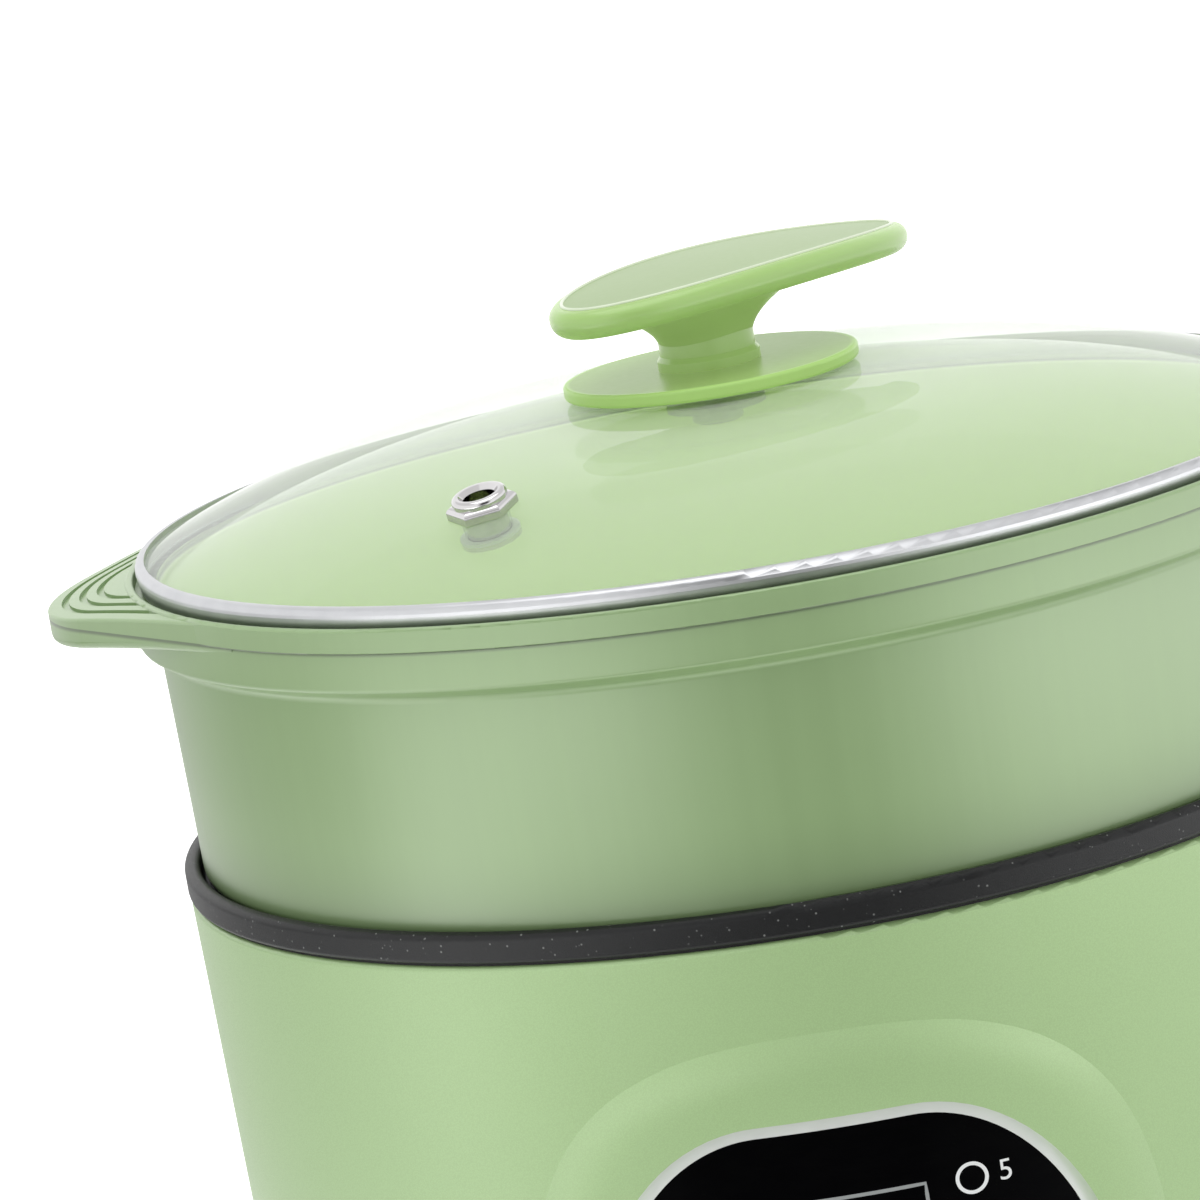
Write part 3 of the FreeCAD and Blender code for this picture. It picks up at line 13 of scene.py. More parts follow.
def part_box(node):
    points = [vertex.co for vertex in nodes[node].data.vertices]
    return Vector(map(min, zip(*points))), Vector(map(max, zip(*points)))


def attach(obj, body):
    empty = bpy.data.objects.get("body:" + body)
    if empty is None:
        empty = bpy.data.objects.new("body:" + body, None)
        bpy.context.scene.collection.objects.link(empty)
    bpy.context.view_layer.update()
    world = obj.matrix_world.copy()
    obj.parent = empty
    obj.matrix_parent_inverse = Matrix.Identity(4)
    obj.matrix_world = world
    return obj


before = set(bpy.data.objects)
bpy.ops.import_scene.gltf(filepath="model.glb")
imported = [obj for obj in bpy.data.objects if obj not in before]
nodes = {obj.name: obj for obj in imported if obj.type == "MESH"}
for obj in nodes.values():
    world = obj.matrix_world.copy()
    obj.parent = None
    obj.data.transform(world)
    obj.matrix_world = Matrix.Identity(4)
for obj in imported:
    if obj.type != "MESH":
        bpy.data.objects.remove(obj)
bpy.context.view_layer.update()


# --- Body shell -----------------------------------------------------------------------------------
# The outer wall is injection moulded plastic, sprayed with a satin green pearl paint.
# The pearl shows as a fine sparkle, and the spray leaves a very faint orange peel.

class Sock:
    """Output of a shader node. Arithmetic on it adds Math nodes to the same finish."""

    def __init__(self, finish, socket):
        self.finish = finish
        self.socket = socket

    def join(self, operation, first, second):
        return self.finish.node("ShaderNodeMath", {"operation": operation}, {0: first, 1: second})

    def __add__(self, other):
        return self.join("ADD", self, other)

    def __sub__(self, other):
        return self.join("SUBTRACT", self, other)

    def __rsub__(self, other):
        return self.join("SUBTRACT", other, self)

    def __mul__(self, other):
        return self.join("MULTIPLY", self, other)

    def __pow__(self, other):
        return self.join("POWER", self, other)

    __radd__ = __add__
    __rmul__ = __mul__


class Finish:
    """A material whose nodes are written as expressions, with the point on the piece as place."""

    def __init__(self, name, roughness, **constants):
        self.material = bpy.data.materials.new(name)
        self.material.use_nodes = True
        self.tree = self.material.node_tree
        self.shader = self.tree.nodes["Principled BSDF"]
        self.place = self.node("ShaderNodeTexCoord", {}, {}, "Object")
        self.rough(roughness)
        for socket, value in constants.items():
            self.feed(self.shader, socket.replace("_", " "), value)

    def feed(self, node, socket, value):
        """Sets a socket, or links it where the value is another node's output."""
        if isinstance(value, Sock):
            self.tree.links.new(value.socket, node.inputs[socket])
        else:
            node.inputs[socket].default_value = value

    def node(self, kind, settings, values, output=0):
        """Adds a node: its settings come first, then the values or links of its sockets."""
        node = self.tree.nodes.new(kind)
        for name, value in settings.items():
            if name == "stops":
                for number, (position, colour) in enumerate(value):
                    stops = node.color_ramp.elements
                    stop = stops[number] if number < 2 else stops.new(1)
                    stop.position = position
                    stop.color = colour
            else:
                setattr(node, name, value)
        for socket, value in values.items():
            self.feed(node, socket, value)
        return Sock(self, node.outputs[output])

    def stretched(self, x, y, z):
        """The point on the piece, scaled along the axes."""
        return self.node("ShaderNodeVectorMath", {"operation": "MULTIPLY"}, {0: self.place, 1: (x, y, z)})

    def parts(self):
        """The x, y and z of the point on the piece, and its distance from the pot's axis."""
        split = self.node("ShaderNodeSeparateXYZ", {}, {0: self.place}).socket.node
        x, y, z = (Sock(self, output) for output in split.outputs)
        return x, y, z, (x * x + y * y) ** 0.5

    def noise(self, scale, detail=2.0, place=None):
        """Soft random pattern between 0 and 1, scale in features per metre."""
        return self.node("ShaderNodeTexNoise", {},
                         {"Vector": place or self.place, "Scale": scale, "Detail": detail})

    def cells(self, scale):
        """Pattern of small cells, scale in cells per metre."""
        return self.node("ShaderNodeTexVoronoi", {}, {"Vector": self.place, "Scale": scale}, "Distance")

    def between(self, value, low, high):
        """0 below low, 1 above high, and a smooth step from one to the other."""
        return self.node("ShaderNodeMapRange", {"interpolation_type": "SMOOTHSTEP"},
                         {"Value": value, "From Min": low, "From Max": high})

    def mixed(self, share, first, second):
        """Colour between first and second."""
        return self.node("ShaderNodeMix", {"data_type": "RGBA"}, {0: share, 6: first, 7: second}, 2)

    def bumped(self, height, distance, strength=1.0):
        """Relief on the surface, distance in metres."""
        relief = {"Height": height, "Distance": distance, "Strength": strength}
        self.feed(self.shader, "Normal", self.node("ShaderNodeBump", {}, relief))

    def coloured(self, colour):
        self.feed(self.shader, "Base Color", colour)

    def rough(self, roughness):
        self.feed(self.shader, "Roughness", roughness)

    def plain(self):
        """The finish's own shader, to be mixed with another."""
        return Sock(self, self.shader.outputs[0])

    def shown(self, surface):
        """Shows another shader than the finish's own."""
        self.feed(self.tree.nodes["Material Output"], "Surface", surface)


def srgb(red, green, blue):
    """Linear colour from the 0 to 255 values that a paint chart gives."""
    channels = []
    for value in (red, green, blue):
        share = value / 255
        channels.append(share / 12.92 if share <= 0.04045 else ((share + 0.055) / 1.055) ** 2.4)
    return (*channels, 1.0)


def shaded(colour, factor):
    """The same colour, lighter or darker."""
    return (*(min(1.0, value * factor) for value in colour[:3]), 1.0)


def dress(finish, *names):
    """Gives CAD nodes a finish."""
    for name in names:
        for place in nodes[name].material_slots:
            place.material = finish.material


pearl_green = srgb(156, 188, 128)
pearl_size = 4200
shell_paint = Finish("shell_paint", 0.4, Specular_IOR_Level=0.75, Coat_Weight=0.25, Coat_Roughness=0.3)
sparkle = shell_paint.between(shell_paint.cells(pearl_size), 0.1, 0.75)
cloud = shell_paint.noise(35)
paint_tone = shell_paint.mixed(cloud, shaded(pearl_green, 0.97), shaded(pearl_green, 1.03))
shell_paint.coloured(shell_paint.mixed(sparkle, shaded(pearl_green, 1.1), paint_tone))
shell_paint.rough(0.36 + sparkle * 0.1)
shell_paint.bumped(sparkle * 0.6 + shell_paint.noise(900) * 0.4, 0.00002, 0.5)
dress(shell_paint, "body_shell")


# --- Base cover -----------------------------------------------------------------------------------
# The cover under the body is moulded in the same green, unpainted and spark eroded to a fine matt
# texture. Four screws from below hold it to the shell's bosses.

def moulded(name, colour, roughness, grain_size, grain_depth, **constants):
    """Moulded plastic: a fine grain, slightly uneven colour and small changes of gloss."""
    finish = Finish(name, roughness, **constants)
    grain = finish.noise(grain_size, 3.0)
    patch = finish.noise(40)
    finish.coloured(finish.mixed(patch, shaded(colour, 0.96), shaded(colour, 1.04)))
    finish.rough(roughness - 0.04 + grain * 0.08)
    finish.bumped(grain, grain_depth, 0.5)
    return finish


cover_green = srgb(150, 181, 123)
dress(moulded("base_plastic", cover_green, 0.55, 2500, 0.00006), "base_plate")


# --- Feet and rim seal ----------------------------------------------------------------------------
# The feet are pressed rubber, the seal under the pot's rim is a thin black silicone ring.
# Both are matt, with dust in their grain.

def rubber(name, colour, dust_and_step_shadow):
    """Soft matt rubber with a little dust."""
    finish = Finish(name, 0.7, Specular_IOR_Level=0.3)
    specks = finish.between(finish.noise(1800, 4.0), 0.52, 0.7)
    finish.coloured(finish.mixed(specks * dust_and_step_shadow, colour, shaded(colour, 2.2)))
    finish.rough(0.62 + specks * 0.2)
    finish.bumped(finish.noise(3000, 3.0), 0.00004, 0.6)
    return finish


dress(rubber("foot_rubber", srgb(46, 46, 45), 0.6), "rubber_feet")
dress(rubber("seal_silicone", srgb(30, 30, 30), 0.3), "rim_seal")


# --- Screws and nuts ------------------------------------------------------------------------------
# Zinc plated steel. The screws hold the cover, the boards, the inlet, the handle and the knob, the nuts
# the heat shield. Their faces carry fine streaks and a cloudy gloss.

def metal(name, colour, roughness, streak, depth=0.000008):
    """Worked metal: fine streaks, cloudy gloss and a slightly uneven colour."""
    finish = Finish(name, roughness, Metallic=1.0)
    lines = finish.noise(streak, 3.0, finish.stretched(1.0, 1.0, 6.0))
    cloud = finish.noise(220, 3.0)
    finish.coloured(finish.mixed(cloud, shaded(colour, 0.88), shaded(colour, 1.06)))
    finish.rough(roughness - 0.05 + cloud * 0.06 + lines * 0.06)
    finish.bumped(lines, depth, 0.4)
    return finish


zinc_grey = srgb(196, 197, 199)
dress(metal("screw_steel", zinc_grey, 0.34, 2600), "base_screws", "board_screws", "inlet_screws",
      "display_screws", "handle_screws", "grip_screws", "shield_nuts", "knob_screw")


# --- Inner pot ------------------------------------------------------------------------------------
# Pressed aluminium with a black non-stick coating. The coating carries pale stone-like specks, and on
# the rolled rim it is sprayed thinner and looks grainy.

coating_black = srgb(18, 19, 20)
speck_grey = srgb(120, 122, 120)
coating = Finish("pot_coating", 0.42, Specular_IOR_Level=0.3)
speck_cells = coating.cells(900)
specks = (1 - coating.between(speck_cells, 0.08, 0.22)) * coating.between(coating.noise(400), 0.5, 0.62)
grit = coating.noise(5200, 3.0)
coating_tone = coating.mixed(grit, shaded(coating_black, 0.6), shaded(coating_black, 1.5))
coating.coloured(coating.mixed(specks, coating_tone, speck_grey))
coating.rough(0.3 + grit * 0.25)
coating.bumped(grit, 0.00006, 0.8)
dress(coating, "inner_pot")


# --- Heater stack ---------------------------------------------------------------------------------
# Cast aluminium plate with a tubular element let into it, hung on steel studs and sleeves with a pressed
# heat shield under it. Heat has darkened and yellowed the element's sheath. The thermostat's body is
# white ceramic.

dress(metal("heater_aluminium", srgb(196, 198, 200), 0.45, 900, 0.00003), "heater_plate")
dress(metal("steel", srgb(188, 188, 190), 0.36, 1800), "pot_studs", "spacer_sleeves", "heat_shield",
      "sensor_bracket", "knob_washer")

sheath = Finish("sheath_steel", 0.5, Metallic=1.0)
heat_tint = sheath.between(sheath.noise(60, 3.0), 0.35, 0.65)
sheath.coloured(sheath.mixed(heat_tint, srgb(88, 84, 82), srgb(126, 112, 96)))
sheath.rough(0.42 + sheath.noise(900) * 0.2)
sheath.bumped(sheath.noise(1500, 3.0), 0.00002, 0.5)
dress(sheath, "heating_element")
dress(moulded("ceramic_cap", srgb(226, 222, 210), 0.5, 1800, 0.00003), "thermostat")


# --- Power board, display board and their parts ---------------------------------------------------
# Two green circuit boards with copper tracks under the solder mask. The parts on them are moulded,
# except the transformer, whose winding is wrapped in yellow tape.

mask_green = srgb(34, 92, 52)
board = Finish("board", 0.35, Specular_IOR_Level=0.6)
copper = board.node("ShaderNodeTexBrick", {"offset": 0.5},
                    {"Vector": board.place, "Scale": 260.0, "Mortar Size": 0.18}, "Fac")
tracks = board.between(copper, 0.2, 0.8)
weave = board.noise(2400, 2.0, board.stretched(1.0, 5.0, 5.0))
board.coloured(board.mixed(tracks * 0.7, shaded(mask_green, 0.8), shaded(mask_green, 1.7)))
board.rough(0.3 + weave * 0.12)
board.bumped(tracks + weave * 0.3, 0.00003, 0.5)
dress(board, "power_board", "display_board")
dress(moulded("part_black", srgb(34, 34, 36), 0.32, 2600, 0.00002), "capacitor")
dress(moulded("part_blue", srgb(48, 86, 160), 0.3, 2600, 0.00002), "relay")
dress(moulded("terminal", srgb(72, 146, 92), 0.38, 2600, 0.00002), "terminal_block")
dress(moulded("display_grey", srgb(62, 64, 64), 0.3, 2200, 0.00002), "display_module")
dress(moulded("light_clear", srgb(236, 236, 228), 0.12, 1500, 0.00001), "indicator_leds")

tape = Finish("part_yellow", 0.4)
turns = tape.node("ShaderNodeTexWave", {"bands_direction": "Z"},
                  {"Vector": tape.place, "Scale": 120.0, "Distortion": 0.6})
wraps = tape.between(turns, 0.3, 0.9)
tape.coloured(tape.mixed(wraps, srgb(176, 140, 48), srgb(222, 188, 84)))
tape.rough(0.34 + wraps * 0.15)
tape.bumped(wraps, 0.00005, 0.6)
dress(tape, "transformer")


# --- Sensor, fuse and springs ---------------------------------------------------------------------
# The sensor's capsule and the fuse's can are drawn and polished, and stand at the heater plate. The
# springs are bright steel, and join the display board to the touch fields of the panel glass.

polish = Finish("polished_steel", 0.08, Metallic=1.0)
polish.coloured(polish.mixed(polish.noise(200), srgb(192, 190, 191), srgb(208, 206, 207)))
polish.rough(0.05 + polish.noise(1500, 3.0) * 0.05)
dress(polish, "temperature_sensor", "thermal_fuse")
dress(metal("spring_steel", srgb(204, 204, 205), 0.25, 3000), "touch_springs")


# --- Power inlet ----------------------------------------------------------------------------------
# Black moulded socket for a detachable cord, with three brass pins. It stands in a pocket in the back of
# the body shell, and two screws hold it.

dress(moulded("inlet_plastic", srgb(38, 38, 40), 0.34, 2400, 0.00003), "power_inlet")
dress(metal("pin_brass", srgb(206, 190, 150), 0.24, 2600), "inlet_pins")


# --- Wires and cable ------------------------------------------------------------------------------
# The mains wires and the display cable have a plain extruded jacket, brown and pale grey. The heater
# wires have a braided glass sleeve.

dress(moulded("wire_jacket", srgb(150, 104, 68), 0.42, 1400, 0.00002), "mains_wires")
dress(moulded("cable_jacket", srgb(206, 206, 204), 0.42, 1400, 0.00002), "display_cable")

braid = Finish("heater_jacket", 0.75)
strands = braid.node("ShaderNodeTexWave", {"bands_direction": "DIAGONAL"},
                     {"Vector": braid.place, "Scale": 900.0, "Distortion": 1.0})
braid.coloured(braid.mixed(strands, srgb(186, 185, 178), srgb(232, 231, 225)))
braid.bumped(strands, 0.00008, 0.8)
dress(braid, "heater_wires")


# --- Panel frame ----------------------------------------------------------------------------------
# Plastic frame with a bright silver plating, let into the body's front. The plating is smooth, with
# faint clouds in its gloss.

plating = Finish("bezel_silver", 0.2, Metallic=0.25)
plating_cloud = plating.noise(120, 3.0)
plating.coloured(plating.mixed(plating_cloud, srgb(243, 245, 245), srgb(250, 251, 250)))
plating.rough(0.16 + plating_cloud * 0.1)
plating.bumped(plating.noise(1500), 0.000006, 0.4)
dress(plating, "panel_bezel")


# --- Panel glass ----------------------------------------------------------------------------------
# Smoked black panel, hard coated and curved as the body is, which lies in the frame. Its gloss is nearly
# a mirror's, with faint wipe marks.

smoke = Finish("panel_black", 0.05, Specular_IOR_Level=0.06)
wipe = smoke.noise(160, 4.0, smoke.stretched(1.0, 1.0, 3.0))
smoke.coloured(smoke.mixed(wipe, srgb(4, 4, 5), srgb(9, 9, 10)))
smoke.rough(0.03 + smoke.between(wipe, 0.45, 0.7) * 0.05)
smoke.bumped(smoke.noise(90), 0.00002, 0.15)
dress(smoke, "panel_glass")


# --- Panel print ----------------------------------------------------------------------------------
# Screen printed white marks on the panel: a frame with plain numbers for the display, two columns of
# rings with plain numbers beside them, and the three touch signs. The ink is matt and a few hundredths
# of a millimetre thick. Heights are measured from the panel's centre.

panel_centre = 0.068
ink_lift = 0.00004
ink_width = 0.0006
ring_reach = 0.0203
ring_heights = (0.0258, 0.0142, 0.0026, -0.009)
ring_size = 0.00265
display_half_width = 0.0129
display_low = 0.009
display_high = 0.0265
number_height = 0.0034
number_width = 0.0022
number_reach = 0.0042
link_gap = 0.0012
digit_height = 0.0085
digit_start = -0.0098
digit_step = 0.0052
colon_levels = (("low", 0.0158), ("high", 0.0197))
colon_radius = 0.00025
colon_width = 0.0004
digit_share = 0.7
power_opening = 35
power_bar = (0.3, 1.3)
touch_level = -0.024
touch_step = 0.0155
touch_size = 0.0026


def added(name, data):
    """A new object in the scene."""
    piece = bpy.data.objects.new(name, data)
    bpy.context.scene.collection.objects.link(piece)
    return piece


def meshed(name, form):
    """The mesh of a form that is complete."""
    mesh = bpy.data.meshes.new(name)
    form.to_mesh(mesh)
    form.free()
    return mesh


def on_panel(x, z):
    """Point just in front of the panel's curved face."""
    place = nodes["panel_glass"].ray_cast(Vector((x, -1.0, z)), Vector((0, 1, 0)))[1]
    return place - Vector((0, ink_lift, 0))


def printed(name, mesh, ink):
    """A mark on the panel: the mesh's x and y become across and up, laid on the panel's face."""
    for vertex in mesh.vertices:
        vertex.co = on_panel(vertex.co.x, panel_centre + vertex.co.y)
    mesh.materials.append(ink.material)
    mark = added(name, mesh)
    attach(mark, "base")


def strip(name, points, width, closed, ink):
    """A line of ink of one width along points."""
    form = bmesh.new()
    count = len(points)
    rows = []
    for i, (x, y) in enumerate(points):
        before = points[i - 1] if closed or i else points[i]
        after = points[(i + 1) % count] if closed or i < count - 1 else points[i]
        way = (Vector(after) - Vector(before)).normalized()
        side = Vector((-way.y, way.x)) * width / 2
        rows.append([form.verts.new((x + side.x, y + side.y, 0)),
                     form.verts.new((x - side.x, y - side.y, 0))])
    for i in range(count if closed else count - 1):
        here = rows[i]
        on = rows[(i + 1) % count]
        form.faces.new((here[0], here[1], on[1], on[0]))
    printed(name, meshed(name, form), ink)


def circle(x, y, radius, steps=40):
    """Points round a circle."""
    angles = [2 * pi * i / steps for i in range(steps)]
    return [(x + radius * cos(angle), y + radius * sin(angle)) for angle in angles]


def straight(start, end, steps=12):
    """Points along a straight line."""
    way = Vector(end) - Vector(start)
    return [tuple(Vector(start) + way * i / steps) for i in range(steps + 1)]


def figure(name, text, x, y, height, ink):
    """A printed number whose left end is at x and whose middle is at y, its digits height tall."""
    curve = bpy.data.curves.new(name, "FONT")
    curve.body = text
    curve.size = height / digit_share
    curve.align_y = "CENTER"
    outline = added(name + "_outline", curve)
    bpy.context.view_layer.update()
    mesh = bpy.data.meshes.new_from_object(outline)
    bpy.data.objects.remove(outline)
    mesh.transform(Matrix.Translation((x, y, 0)))
    printed(name, mesh, ink)


def inked(name, colour):
    """Screen printing ink: matt, with the mesh of the screen in its surface."""
    ink = Finish(name, 0.45, Specular_IOR_Level=0.4)
    screen = ink.noise(6000, 2.0)
    ink.coloured(ink.mixed(screen, shaded(colour, 0.92), colour))
    ink.rough(0.4 + screen * 0.15)
    ink.bumped(screen, 0.00001, 0.5)
    return ink


white_ink = inked("white_ink", srgb(236, 238, 238))
grey_ink = inked("grey_ink", srgb(150, 154, 154))
link_end = ring_size + link_gap
for word, column, label_start, first in (("left", -ring_reach, -number_reach - number_width, 1),
                                         ("right", ring_reach, number_reach, 5)):
    for number, level in enumerate(ring_heights):
        strip(f"ring_{word}_{number + 1}", circle(column, level, ring_size - ink_width / 2), ink_width, True,
              white_ink)
        figure(f"number_{word}_{number + 1}", str(number + first), column + label_start, level, number_height,
               white_ink)
    for number, (high, low) in enumerate(zip(ring_heights, ring_heights[1:])):
        strip(f"link_{word}_{number + 1}", straight((column, high - link_end), (column, low + link_end)),
              ink_width / 3, False, grey_ink)

corners = [(-display_half_width, display_low), (display_half_width, display_low),
           (display_half_width, display_high), (-display_half_width, display_high)]
display_edge = []
for start, end in zip(corners, corners[1:] + corners[:1]):
    display_edge += straight(start, end, 10)[:-1]
strip("display_frame", display_edge, ink_width, True, grey_ink)
for number, digit in enumerate("1230"):
    figure(f"display_digit_{number + 1}", digit, digit_start + number * digit_step,
           (display_low + display_high) / 2, digit_height, grey_ink)
for word, level in colon_levels:
    strip(f"display_colon_{word}", circle(0.0, level, colon_radius, 12), colon_width, True, grey_ink)

power_arc = [(touch_size * sin(radians(angle)), touch_level + touch_size * cos(radians(angle)))
             for angle in range(power_opening, 361 - power_opening, 10)]
strip("touch_power_ring", power_arc, ink_width, False, white_ink)
bar_low, bar_high = (touch_size * share for share in power_bar)
for name, x, left, right, low, high in (
        ("touch_power_bar", 0, 0, 0, bar_low, bar_high),
        ("touch_less", -touch_step, -touch_size, touch_size, 0, 0),
        ("touch_more_across", touch_step, -touch_size, touch_size, 0, 0),
        ("touch_more_up", touch_step, 0, 0, -touch_size, touch_size)):
    strip(name, straight((x + left, touch_level + low), (x + right, touch_level + high)), ink_width, False,
          white_ink)


# --- Side handle ----------------------------------------------------------------------------------
# Two moulded shells, screwed together from below and to the body from inside.
# The plastic is the body's green, satin, with the mould's soft grain where the hand holds it.

handle_green = srgb(158, 189, 130)
dress(moulded("handle_plastic", handle_green, 0.42, 1600, 0.00005), "handle_upper", "handle_lower")


# --- Steamer tray ---------------------------------------------------------------------------------
# Injection moulded in green plastic with a satin gloss. The melt has left faint upright flow lines in the
# wall. Painted shade darkens the wall's foot above the pot's black rim, the inner faces are painted paler as
# painted light inside the tray, and a painted shadow line lies under the step of the flange.

tray_green = srgb(136, 166, 110)
# The inner faces are painted paler: painted light for the inside of the tray.
inner_painted_light_green = srgb(212, 233, 154)
inner_face = 0.0985
painted_foot_shade = (0.138, 0.158)
step_line = (0.1884, 0.1890)
step_end = (0.1892, 0.1893)
face_fade = 0.0003
tray_plastic = Finish("tray_plastic", 0.3, Specular_IOR_Level=0.9, Coat_Weight=0.3, Coat_Roughness=0.35)
flow = tray_plastic.noise(420, 2.0, tray_plastic.stretched(1.0, 1.0, 0.02))
tray_cloud = tray_plastic.noise(30)
tray_z, tray_radius = tray_plastic.parts()[2:]
outside = tray_plastic.between(tray_radius, inner_face - face_fade, inner_face + face_fade)
# Painted shade darkens the wall's foot.
out_of_foot_shade = tray_plastic.between(tray_z, *painted_foot_shade)
# A painted shadow line lies under the flange's step.
dust_and_step_shadow = tray_plastic.between(tray_z, *step_line) * (1 - tray_plastic.between(tray_z, *step_end))
wall_tone = tray_plastic.mixed(flow * 0.6 + tray_cloud * 0.4, shaded(tray_green, 0.94),
                               shaded(tray_green, 1.06))
wall_tone = tray_plastic.mixed(out_of_foot_shade, shaded(tray_green, 0.72), wall_tone)
wall_tone = tray_plastic.mixed(dust_and_step_shadow, wall_tone, shaded(tray_green, 0.4))
tray_plastic.coloured(tray_plastic.mixed(outside, inner_painted_light_green, wall_tone))
tray_plastic.rough(0.3 + tray_plastic.noise(2000) * 0.06 + flow * 0.04)
tray_plastic.bumped(flow, 0.00002, 0.25)
dress(tray_plastic, "steamer_tray")


# --- Lid glass ------------------------------------------------------------------------------------
# Clear tempered glass, pressed to a shallow dome and ground round its edge. It is clear seen from above.
# A white layer mixed into it is painted reflection of the white surroundings: faint where it faces the eye,
# stronger the lower the angle at which it is seen, and grey at its far edge.

glass_tones = (srgb(241, 247, 238), srgb(249, 252, 247))
edge_grey = srgb(206, 209, 206)
sheen_least = 0.17
sheen_side = 0.25
sheen_edge = 0.55
glass = Finish("lid_glass", 0.02, Specular_IOR_Level=0.5)
ripple = glass.noise(25)
facing = glass.node("ShaderNodeLayerWeight", {}, {"Blend": 0.5}, "Facing")
glass.coloured(glass.mixed(facing ** 8, glass.mixed(ripple, *glass_tones), edge_grey))
glass.rough(0.01 + glass.between(glass.noise(140, 3.0), 0.55, 0.8) * 0.02)
glass.bumped(ripple, 0.00004, 0.15)
# Share of the white layer, a painted reflection: least facing the eye, most at a low angle.
painted_sheen = sheen_least + facing ** 3 * sheen_side + facing ** 10 * sheen_edge
clear = glass.node("ShaderNodeBsdfTransparent", {}, {"Color": srgb(250, 254, 249)})
glass.shown(glass.node("ShaderNodeMixShader", {}, {0: painted_sheen, 1: clear, 2: glass.plain()}))
dress(glass, "lid_glass")


# --- Lid rim and vent -----------------------------------------------------------------------------
# Stainless steel. The rim is rolled round the edge of the glass and brushed along its length, the vent is
# a polished eyelet with a hexagon, riveted through the glass on a silicone washer.

brushed = Finish("brushed_steel", 0.2, Metallic=1.0)
brush_lines = brushed.noise(900, 3.0, brushed.stretched(0.3, 0.3, 5.0))
brushed.coloured(brushed.mixed(brushed.noise(200), srgb(184, 185, 188), srgb(198, 199, 201)))
brushed.rough(0.36 + brush_lines * 0.04)
dress(brushed, "lid_ring")
dress(polish, "vent_eyelet")


# --- Silicone of the lid --------------------------------------------------------------------------
# Pale moulded rings that keep plastic and steel off the glass: one lies under the knob's disc, one over
# the vent's lower flange.

dress(rubber("silicone", srgb(196, 208, 182), 0.1), "vent_washer", "knob_gasket")


# --- Knob -----------------------------------------------------------------------------------------
# A flat disc and an arched, leaf-shaped grip on a flared neck, moulded in glossy green plastic. It is a
# little clear and scatters light inside. A weak green glow of its own, painted light, lifts its shaded parts,
# and the disc's top is painted darker and its edge lighter, as painted shade and light. A paler insert is
# glued into the grip's top.

knob_green = srgb(139, 175, 99)
# The knob's weak green glow is painted light.
painted_glow_green = srgb(180, 202, 130)
painted_glow_level = 0.23
glow_depth = (0.004, 0.006, 0.003)
knob_grain = (900, 0.000012)
dress(moulded("knob_plastic", knob_green, 0.24, *knob_grain, Specular_IOR_Level=0.6, Subsurface_Weight=0.3,
              Subsurface_Scale=1.0, Subsurface_Radius=glow_depth, Emission_Color=painted_glow_green,
              Emission_Strength=painted_glow_level), "knob_body")

disc_rounding = 0.001
edge_fade = 0.0004
# The disc's top is painted darker and its edge lighter: painted shade and painted light.
disc_top_painted_shade = shaded(knob_green, 0.78)
disc_edge_painted_light = shaded(knob_green, 1.25)
disc = moulded("knob_disc", knob_green, 0.3, *knob_grain, Specular_IOR_Level=0.15, Emission_Color=painted_glow_green,
               Emission_Strength=painted_glow_level)
disc_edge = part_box("knob_base")[1][0] - disc_rounding
at_edge = disc.between(disc.parts()[3], disc_edge - edge_fade, disc_edge + edge_fade)
disc_painted_tone = disc.mixed(at_edge, disc_top_painted_shade, disc_edge_painted_light)
disc.coloured(disc.mixed(disc.noise(40) * 0.1, disc_painted_tone, shaded(knob_green, 1.1)))
dress(disc, "knob_base")

insert_green = srgb(158, 180, 132)
dress(moulded("insert_plastic", insert_green, 0.4, *knob_grain, Specular_IOR_Level=0.25), "knob_insert")


# --- Insert's bead --------------------------------------------------------------------------------
# A thin pale tube round the insert, an ellipse that lies on the insert's arched face: a painted highlight
# for the light that the insert's raised edge catches. Only the scene has it.

bead_turn = Matrix.Rotation(radians(43), 3, "Z")
bead_middle = 0.0081
bead_half_length = 0.0362
bead_half_width = 0.0169
bead_radius = 0.00035
bead_steps = 160
bead_sides = 8
bead_form = bmesh.new()
rings = []
for i in range(bead_steps):
    angle = 2 * pi * i / bead_steps
    flat = bead_turn @ Vector((bead_middle + bead_half_length * cos(angle), bead_half_width * sin(angle), 0))
    out = bead_turn @ Vector((cos(angle) / bead_half_length, sin(angle) / bead_half_width, 0)).normalized()
    place = nodes["knob_insert"].ray_cast(Vector((flat.x, flat.y, 1.0)), Vector((0, 0, -1)))[1]
    ring = []
    for j in range(bead_sides):
        side = 2 * pi * j / bead_sides
        ring.append(bead_form.verts.new(place + bead_radius * (out * cos(side) + Vector((0, 0, sin(side))))))
    rings.append(ring)
for i in range(bead_steps):
    here = rings[i]
    on = rings[(i + 1) % bead_steps]
    for j in range(bead_sides):
        k = (j + 1) % bead_sides
        bead_form.faces.new((here[j], on[j], on[k], here[k])).smooth = True
# The tube's pale colour is a painted highlight.
bead_painted_highlight = moulded("bead_painted_highlight", srgb(216, 228, 200), 0.2, 900, 0.00001, Specular_IOR_Level=0.6)
bead = added("insert_bead", meshed("insert_bead", bead_form))
bead.data.materials.append(bead_painted_highlight.material)
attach(bead, "lid")


# --- Studio ---------------------------------------------------------------------------------------
# A white floor that runs out of sight, an even white sky that lights the pot from all sides, and a weak
# soft box above it. What is seen of floor and sky, directly or mirrored, is white.

round_steps = 96
floor_reach = 14.0
floor_lift = 0.8
sky_soft = 0.85
top_size = 0.9
top_place = (0, -0.1, 1.2)
top_level = 1.5

floor_form = bmesh.new()
bmesh.ops.create_circle(floor_form, cap_ends=True, segments=round_steps, radius=floor_reach)
floor = added("floor", meshed("floor", floor_form))


